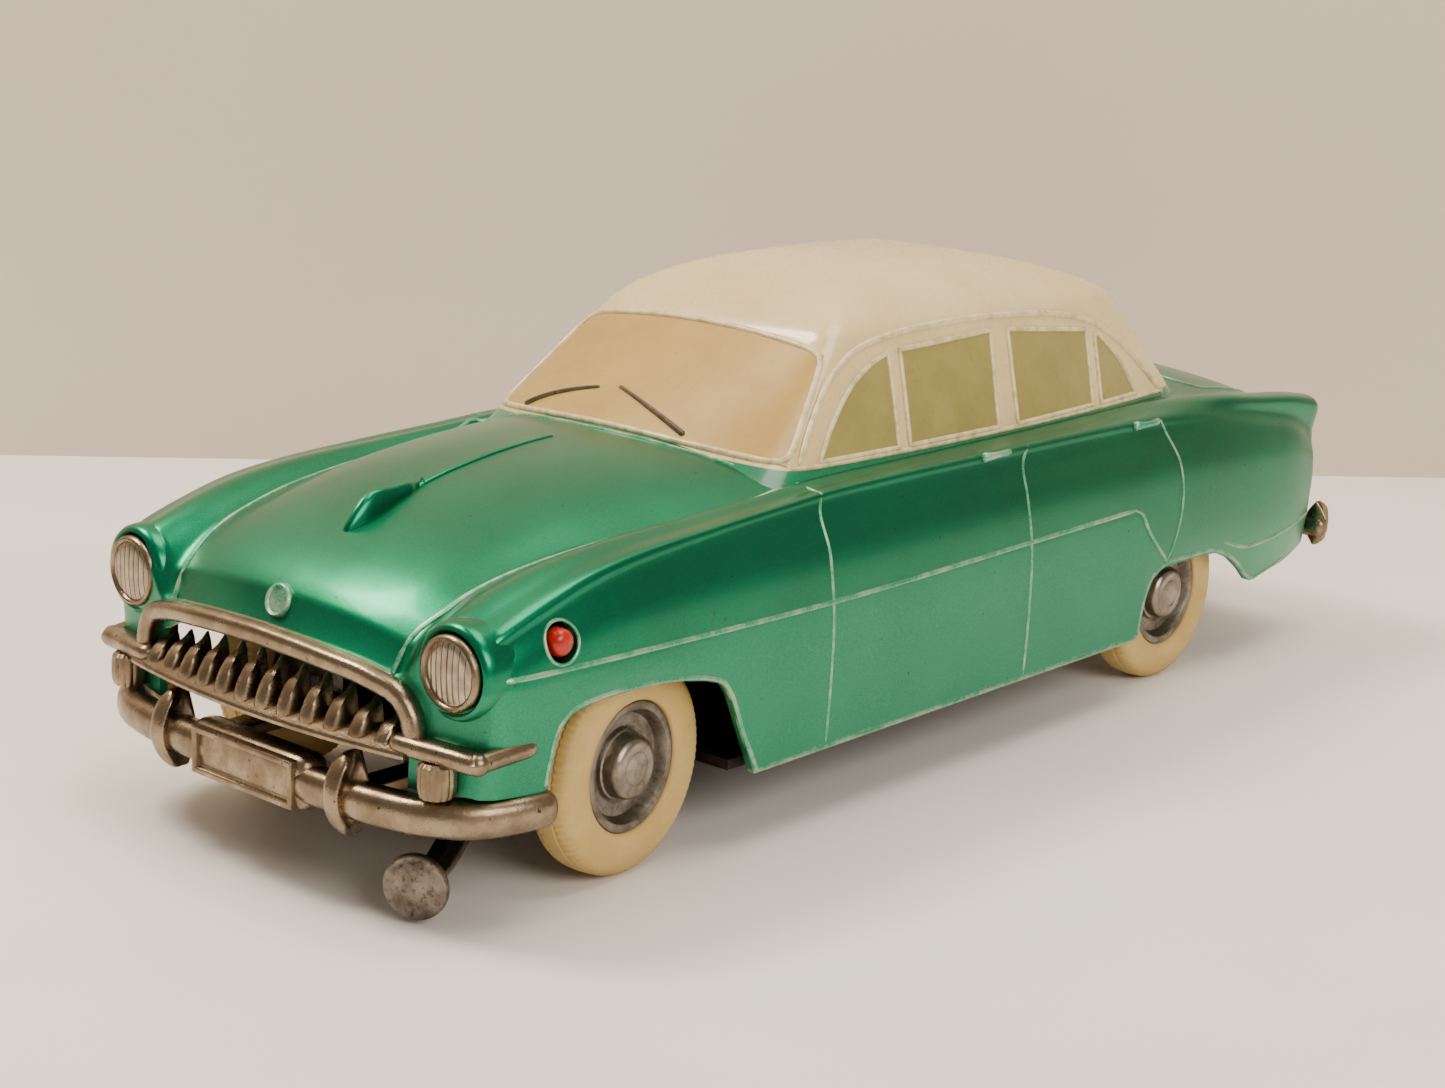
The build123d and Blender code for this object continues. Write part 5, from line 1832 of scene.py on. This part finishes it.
def make_headlamp(side):
    """Plated ring round a domed lens with upright flutes."""
    name = "left" if side > 0 else "right"
    centre = (70.2, side * LAMP_Y, LAMP_Z)
    axis = (1, 0.03 * side, 0)
    ring_profile = [
        (2.62, -4.5), (3.3, -4.5), (3.34, -0.9), (3.34, -0.15), (3.2, 0.12), (3.0, 0.22), (2.82, 0.12),
        (2.72, -0.1), (2.62, -0.3), (2.62, -4.5),
    ]
    ring = turned("ring", ring_profile, centre, axis, 64)
    ring.data.materials.append(plated_casting())
    rows = []
    rings, steps = 22, 96
    for level in range(rings + 1):
        radius = 2.7 * level / rings
        row = []
        for step in range(steps + 1):
            turn = 2 * pi * (step % steps) / steps
            y, z = radius * cos(turn), radius * sin(turn)
            dome = 0.14 + 0.26 * (1 - (radius / 2.7) ** 2)
            flute = 0.13 * abs(sin(pi * y / FLUTE_PITCH)) * ease(2.6 - radius, 0.0, 0.35)
            row.append(Vector((centre[0] + dome + flute - 0.2, centre[1] + y, centre[2] + z)))
        rows.append(row)
    rows.append([Vector((centre[0] - 1.5, centre[1], centre[2]))] * (steps + 1))
    lens = sheet_from_rows("lens", rows)
    lens.data.materials.append(lamp_lens())
    lamp = joined(f"headlamp_{name}_unit", [ring, lens])
    finish_piece(
        lamp, "chassis", plated_casting(), angle=45, replaces=(f"headlamp_{name}",)
    )


# ---- wheels ------------------------------------------------------------------
TREAD_BLOCKS = 84
TREAD_STEPS = TREAD_BLOCKS * 4


def tread_radius(radius, along, step):
    """Tyre radius with the fine cross cuts of the tread."""
    edge = ease(radius, 9.3, 9.9) * ease(abs(along), 0.5, 1.0)
    return radius - 0.16 * edge * (1 if step % 4 >= 2 else 0)


def make_wheel(name, body, axis, outward):
    """Tyre, disc and hub cap of one wheel, on the frame's own places."""
    low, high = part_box(f"tyre_{name}")
    centre = Vector([(a + b) / 2 / MM for a, b in zip(low, high)])
    axis = Vector(axis) * outward
    half_tyre = [
        (6.15, 1.95), (6.3, 2.12), (6.9, 2.28), (7.8, 2.36), (8.6, 2.34), (9.2, 2.22), (9.6, 2.02),
        (9.9, 1.72),
        (10.08, 1.3), (10.14, 0.95), (10.02, 0.86), (10.0, 0.72), (10.16, 0.62), (10.18, 0.0),
    ]
    profile = half_tyre + [(radius, -along) for radius, along in reversed(half_tyre[:-1])]
    profile.append(profile[0])
    tyre = turned(f"tread_tyre_{name}", profile, centre, axis, TREAD_STEPS, tread_radius)
    finish_piece(tyre, body, tyre_rubber(), angle=50, replaces=(f"tyre_{name}",))
    disc_profile = [
        (0.0, 0.55), (3.2, 0.55), (3.5, 0.75), (3.9, 0.82), (4.4, 0.72), (4.75, 0.8), (4.95, 1.15),
        (5.1, 1.55),
        (5.3, 1.85), (5.65, 1.98), (6.0, 1.9), (6.15, 1.65), (6.15, -1.6), (5.6, -1.6), (5.4, -0.4),
        (0.0, -0.4),
    ]
    disc = turned(f"pressed_disc_{name}", disc_profile, centre, axis, 96)
    finish_piece(disc, body, wheel_steel(), angle=35, replaces=(f"wheel_disc_{name}",))
    cap_profile = [
        (0.0, 2.62), (1.3, 2.6), (1.55, 2.52), (1.7, 2.58), (2.3, 2.55), (2.6, 2.42), (2.85, 2.2),
        (2.98, 1.9),
        (3.02, 1.3), (3.06, 0.95), (3.24, 0.86), (3.24, 0.5), (0.0, 0.5),
    ]
    cap = turned(f"domed_hub_cap_{name}", cap_profile, centre, axis, 72)
    finish_piece(cap, body, hub_steel(), angle=35, replaces=(f"hub_cap_{name}",))


def make_wheels():
    joints = {joint["name"]: joint for joint in frame["record"]["behaviour"]["joints"]}
    for name, body, joint, outward in (
        ("front_left", "front_wheel_left", "front_wheel_left_spin", 1),
        ("front_right", "front_wheel_right", "front_wheel_right_spin", -1),
        ("rear_left", "rear_wheels", "rear_axle_spin", 1),
        ("rear_right", "rear_wheels", "rear_axle_spin", -1),
    ):
        make_wheel(name, body, joints[joint]["axis"], outward)


# ---- controls ---------------------------------------------------------------
LEVER_PIVOT = Vector((38.0, 3.0, 0.0))
LEVER_ANGLE = radians(25.2)
LEVER_AHEAD = Vector((cos(LEVER_ANGLE), sin(LEVER_ANGLE), 0.0))
LEVER_ACROSS = Vector((-sin(LEVER_ANGLE), cos(LEVER_ANGLE), 0.0))


def make_control_lever():
    """Two side-by-side strips that slope down from under the bumper to the round pad."""
    strips = []
    for offset, half_width, material in ((0.75, 0.66, scratched_steel()), (-0.75, 0.66, dark_steel())):
        line = [(-2.2, 5.4), (12.0, 5.4), (24.0, 5.4), (26.5, 5.1), (30.6, 3.75), (32.8, 3.45), (35.4, 3.45)]
        path = [
            LEVER_PIVOT + LEVER_AHEAD * along + LEVER_ACROSS * offset + Vector((0, 0, z)) for along,
            z in line
        ]
        strip = bar("strip", spaced(path, 1.0), half_width, 0.42, squareness=0.45, sides=16)
        strip.data.materials.append(material)
        strips.append(strip)
    eye = turned("eye", [(1.35, -0.45), (2.5, -0.45), (2.6, -0.3), (2.6, 0.3), (2.5, 0.45),
        (1.35, 0.45), (1.35, -0.45)],
                 LEVER_PIVOT + Vector((0, 0, 5.4)), (0, 0, 1), 48)
    eye.data.materials.append(dark_steel())
    lever = joined("control_lever_strips", [strips[0], strips[1], eye])
    finish_piece(lever, "front_control", dark_steel(), replaces=("control_lever",))
    face = LEVER_PIVOT + LEVER_AHEAD * 35.6 + Vector((0, 0, 3.45))
    profile = [
        (0.0, 1.22), (0.8, 1.2), (1.7, 1.1), (2.3, 0.95), (2.6, 0.82), (2.75, 0.86), (2.9, 0.78), (2.97, 0.6),
        (2.97, 0.2), (2.85, 0.05), (2.2, 0.0), (0.0, 0.0),
    ]
    pad = turned("control_pad_disc", profile, face, LEVER_AHEAD, 72)
    finish_piece(pad, "front_control", scratched_steel(), replaces=("control_pad",))


def make_stop_knob():
    """Red start and stop knob in its hole in the wing."""
    low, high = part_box("stop_knob")
    centre = Vector([(a + b) / 2 / MM for a, b in zip(low, high)])
    base = Vector((centre.x, low[1] / MM, centre.z))
    profile = [
        (0.0, 1.5), (0.45, 1.48), (0.85, 1.36), (1.1, 1.12), (1.22, 0.8), (1.24, 0.3), (1.24, 0.0),
        (0.0, 0.0),
    ]
    knob = turned("red_stop_knob", profile, base, (0, 1, 0), 40)
    finish_piece(knob, "stop_control", red_plastic(), angle=50, replaces=("stop_knob",))


# ---- studio ------------------------------------------------------------------
CAMERA_PLACE = Vector((206.977, 167.363, 85.176))
CAMERA_AHEAD = Vector((-0.73711185, -0.62968409, -0.24528364))
CAMERA_ROLL = 2.373
WALL_LEFT, WALL_RIGHT = Vector((-5.4, -158.2)), Vector((-172.2, -4.0))


def make_stage():
    """Pale floor and a plain warm wall behind."""
    clear_selection()
    bpy.ops.mesh.primitive_plane_add(size=3.0, location=(0, 0, 0))
    floor = bpy.context.object
    floor.name = "floor"
    material, tree, shader = new_material("pale_shelf_top")
    coords = add_node(tree, "TexCoord", {}, {}, "Object")
    paint = add_node(
        tree, "Mix", RGBA,
        {
            0: add_node(
                tree, "MapRange", SMOOTH,
                {
                    "Value": add_node(
                        tree, "TexNoise", {},
                        {"Vector": coords, "Scale": per_metre(60.0), "Detail": 3.0, "Roughness": 0.55}
                    ),
                    "From Min": 0.3, "From Max": 0.7
                }
            ),
            6: "f0edea", 7: "f6f4f1"
        },
        2
    )
    tree.links.new(paint, shader.inputs["Base Color"])
    set_shader(shader, Roughness=0.5)
    floor.data.materials.append(material)
    rows = []
    ahead = (WALL_RIGHT - WALL_LEFT).normalized()
    ends = [WALL_LEFT - ahead * 900, WALL_RIGHT + ahead * 900]
    for z in (-1.0, 900.0):
        rows.append([Vector((p.x, p.y, z)) for p in ends])
    wall = sheet_from_rows("wall", rows)
    material, tree, shader = new_material("warm_wall_paint")
    coords = add_node(tree, "TexCoord", {}, {}, "Object")
    paint = add_node(
        tree, "Mix", RGBA,
        {
            0: add_node(
                tree, "MapRange", SMOOTH,
                {
                    "Value": add_node(
                        tree, "TexNoise", {},
                        {"Vector": coords, "Scale": per_metre(200.0), "Detail": 2.0, "Roughness": 0.55}
                    ),
                    "From Min": 0.3, "From Max": 0.7
                }
            ),
            6: "d6c8b7", 7: "dccfc0"
        },
        2
    )
    tree.links.new(paint, shader.inputs["Base Color"])
    set_shader(shader, Roughness=0.9)
    wall.data.materials.append(material)


def add_light(name, place, target, size, energy, tint):
    """Soft rectangular lamp aimed at a point."""
    data = bpy.data.lights.new(name, "AREA")
    data.shape = "RECTANGLE"
    data.size, data.size_y = size[0] * MM, size[1] * MM
    data.energy = energy
    data.color = colour(tint)[:3]
    light = bpy.data.objects.new(name, data)
    bpy.context.scene.collection.objects.link(light)
    light.location = Vector(place) * MM
    light.rotation_mode = "QUATERNION"
    light.rotation_quaternion = (Vector(target) - Vector(place)).to_track_quat("-Z", "Y")


def make_lights():
    add_light("key", (150, -230, 420), (0, 0, 15), (160, 160), 2.5, "fff1dd")
    add_light("side_fill", (120, 420, 260), (0, 0, 20), (300, 200), 1.5, "fff6ea")
    add_light("overhead", (-80, 60, 520), (0, 0, 20), (380, 260), 2.1, "fff4e4")
    world = bpy.data.worlds.new("soft_room")
    bpy.context.scene.world = world
    world.use_nodes = True
    background = world.node_tree.nodes["Background"]
    background.inputs["Color"].default_value = colour("e6d8c6")
    background.inputs["Strength"].default_value = 0.42


def make_camera():
    data = bpy.data.cameras.new("view")
    data.sensor_width, data.lens, data.clip_start = 36.0, 63.08, 0.01
    camera = bpy.data.objects.new("view", data)
    bpy.context.scene.collection.objects.link(camera)
    camera.rotation_mode = "QUATERNION"
    turn = Quaternion((0, 0, 1), radians(CAMERA_ROLL))
    camera.rotation_quaternion = CAMERA_AHEAD.to_track_quat("-Z", "Y") @ turn
    camera.location = CAMERA_PLACE * MM
    bpy.context.scene.camera = camera


# ---- the whole car -------------------------------------------------------------
def build_car():
    body = make_body()
    cabin = make_cabin()
    body_tree, cabin_tree = surface_of(body), surface_of(cabin)
    finish_piece(body, "chassis", green_lacquer(), angle=50, replaces=("body_shell",))
    finish_piece(cabin, "chassis", cream_lacquer(), angle=60)
    finish_piece(make_lamp_cups(), "chassis", green_lacquer())
    make_side_lines(body_tree)
    make_top_lines(body_tree)
    make_badge(body_tree)
    make_handles(body_tree)
    make_screens(cabin_tree)
    make_side_windows(cabin_tree)
    make_wipers(cabin_tree)
    make_front_bumper()
    make_front_grille()
    make_rear_bumper()
    for side in (1, -1):
        make_headlamp(side)
    make_wheels()
    make_control_lever()
    make_stop_knob()


make_camera()
make_stage()
build_car()
finish_frame_nodes({name for name, piece in frame["nodes"].items() if piece.hide_render})
make_lights()
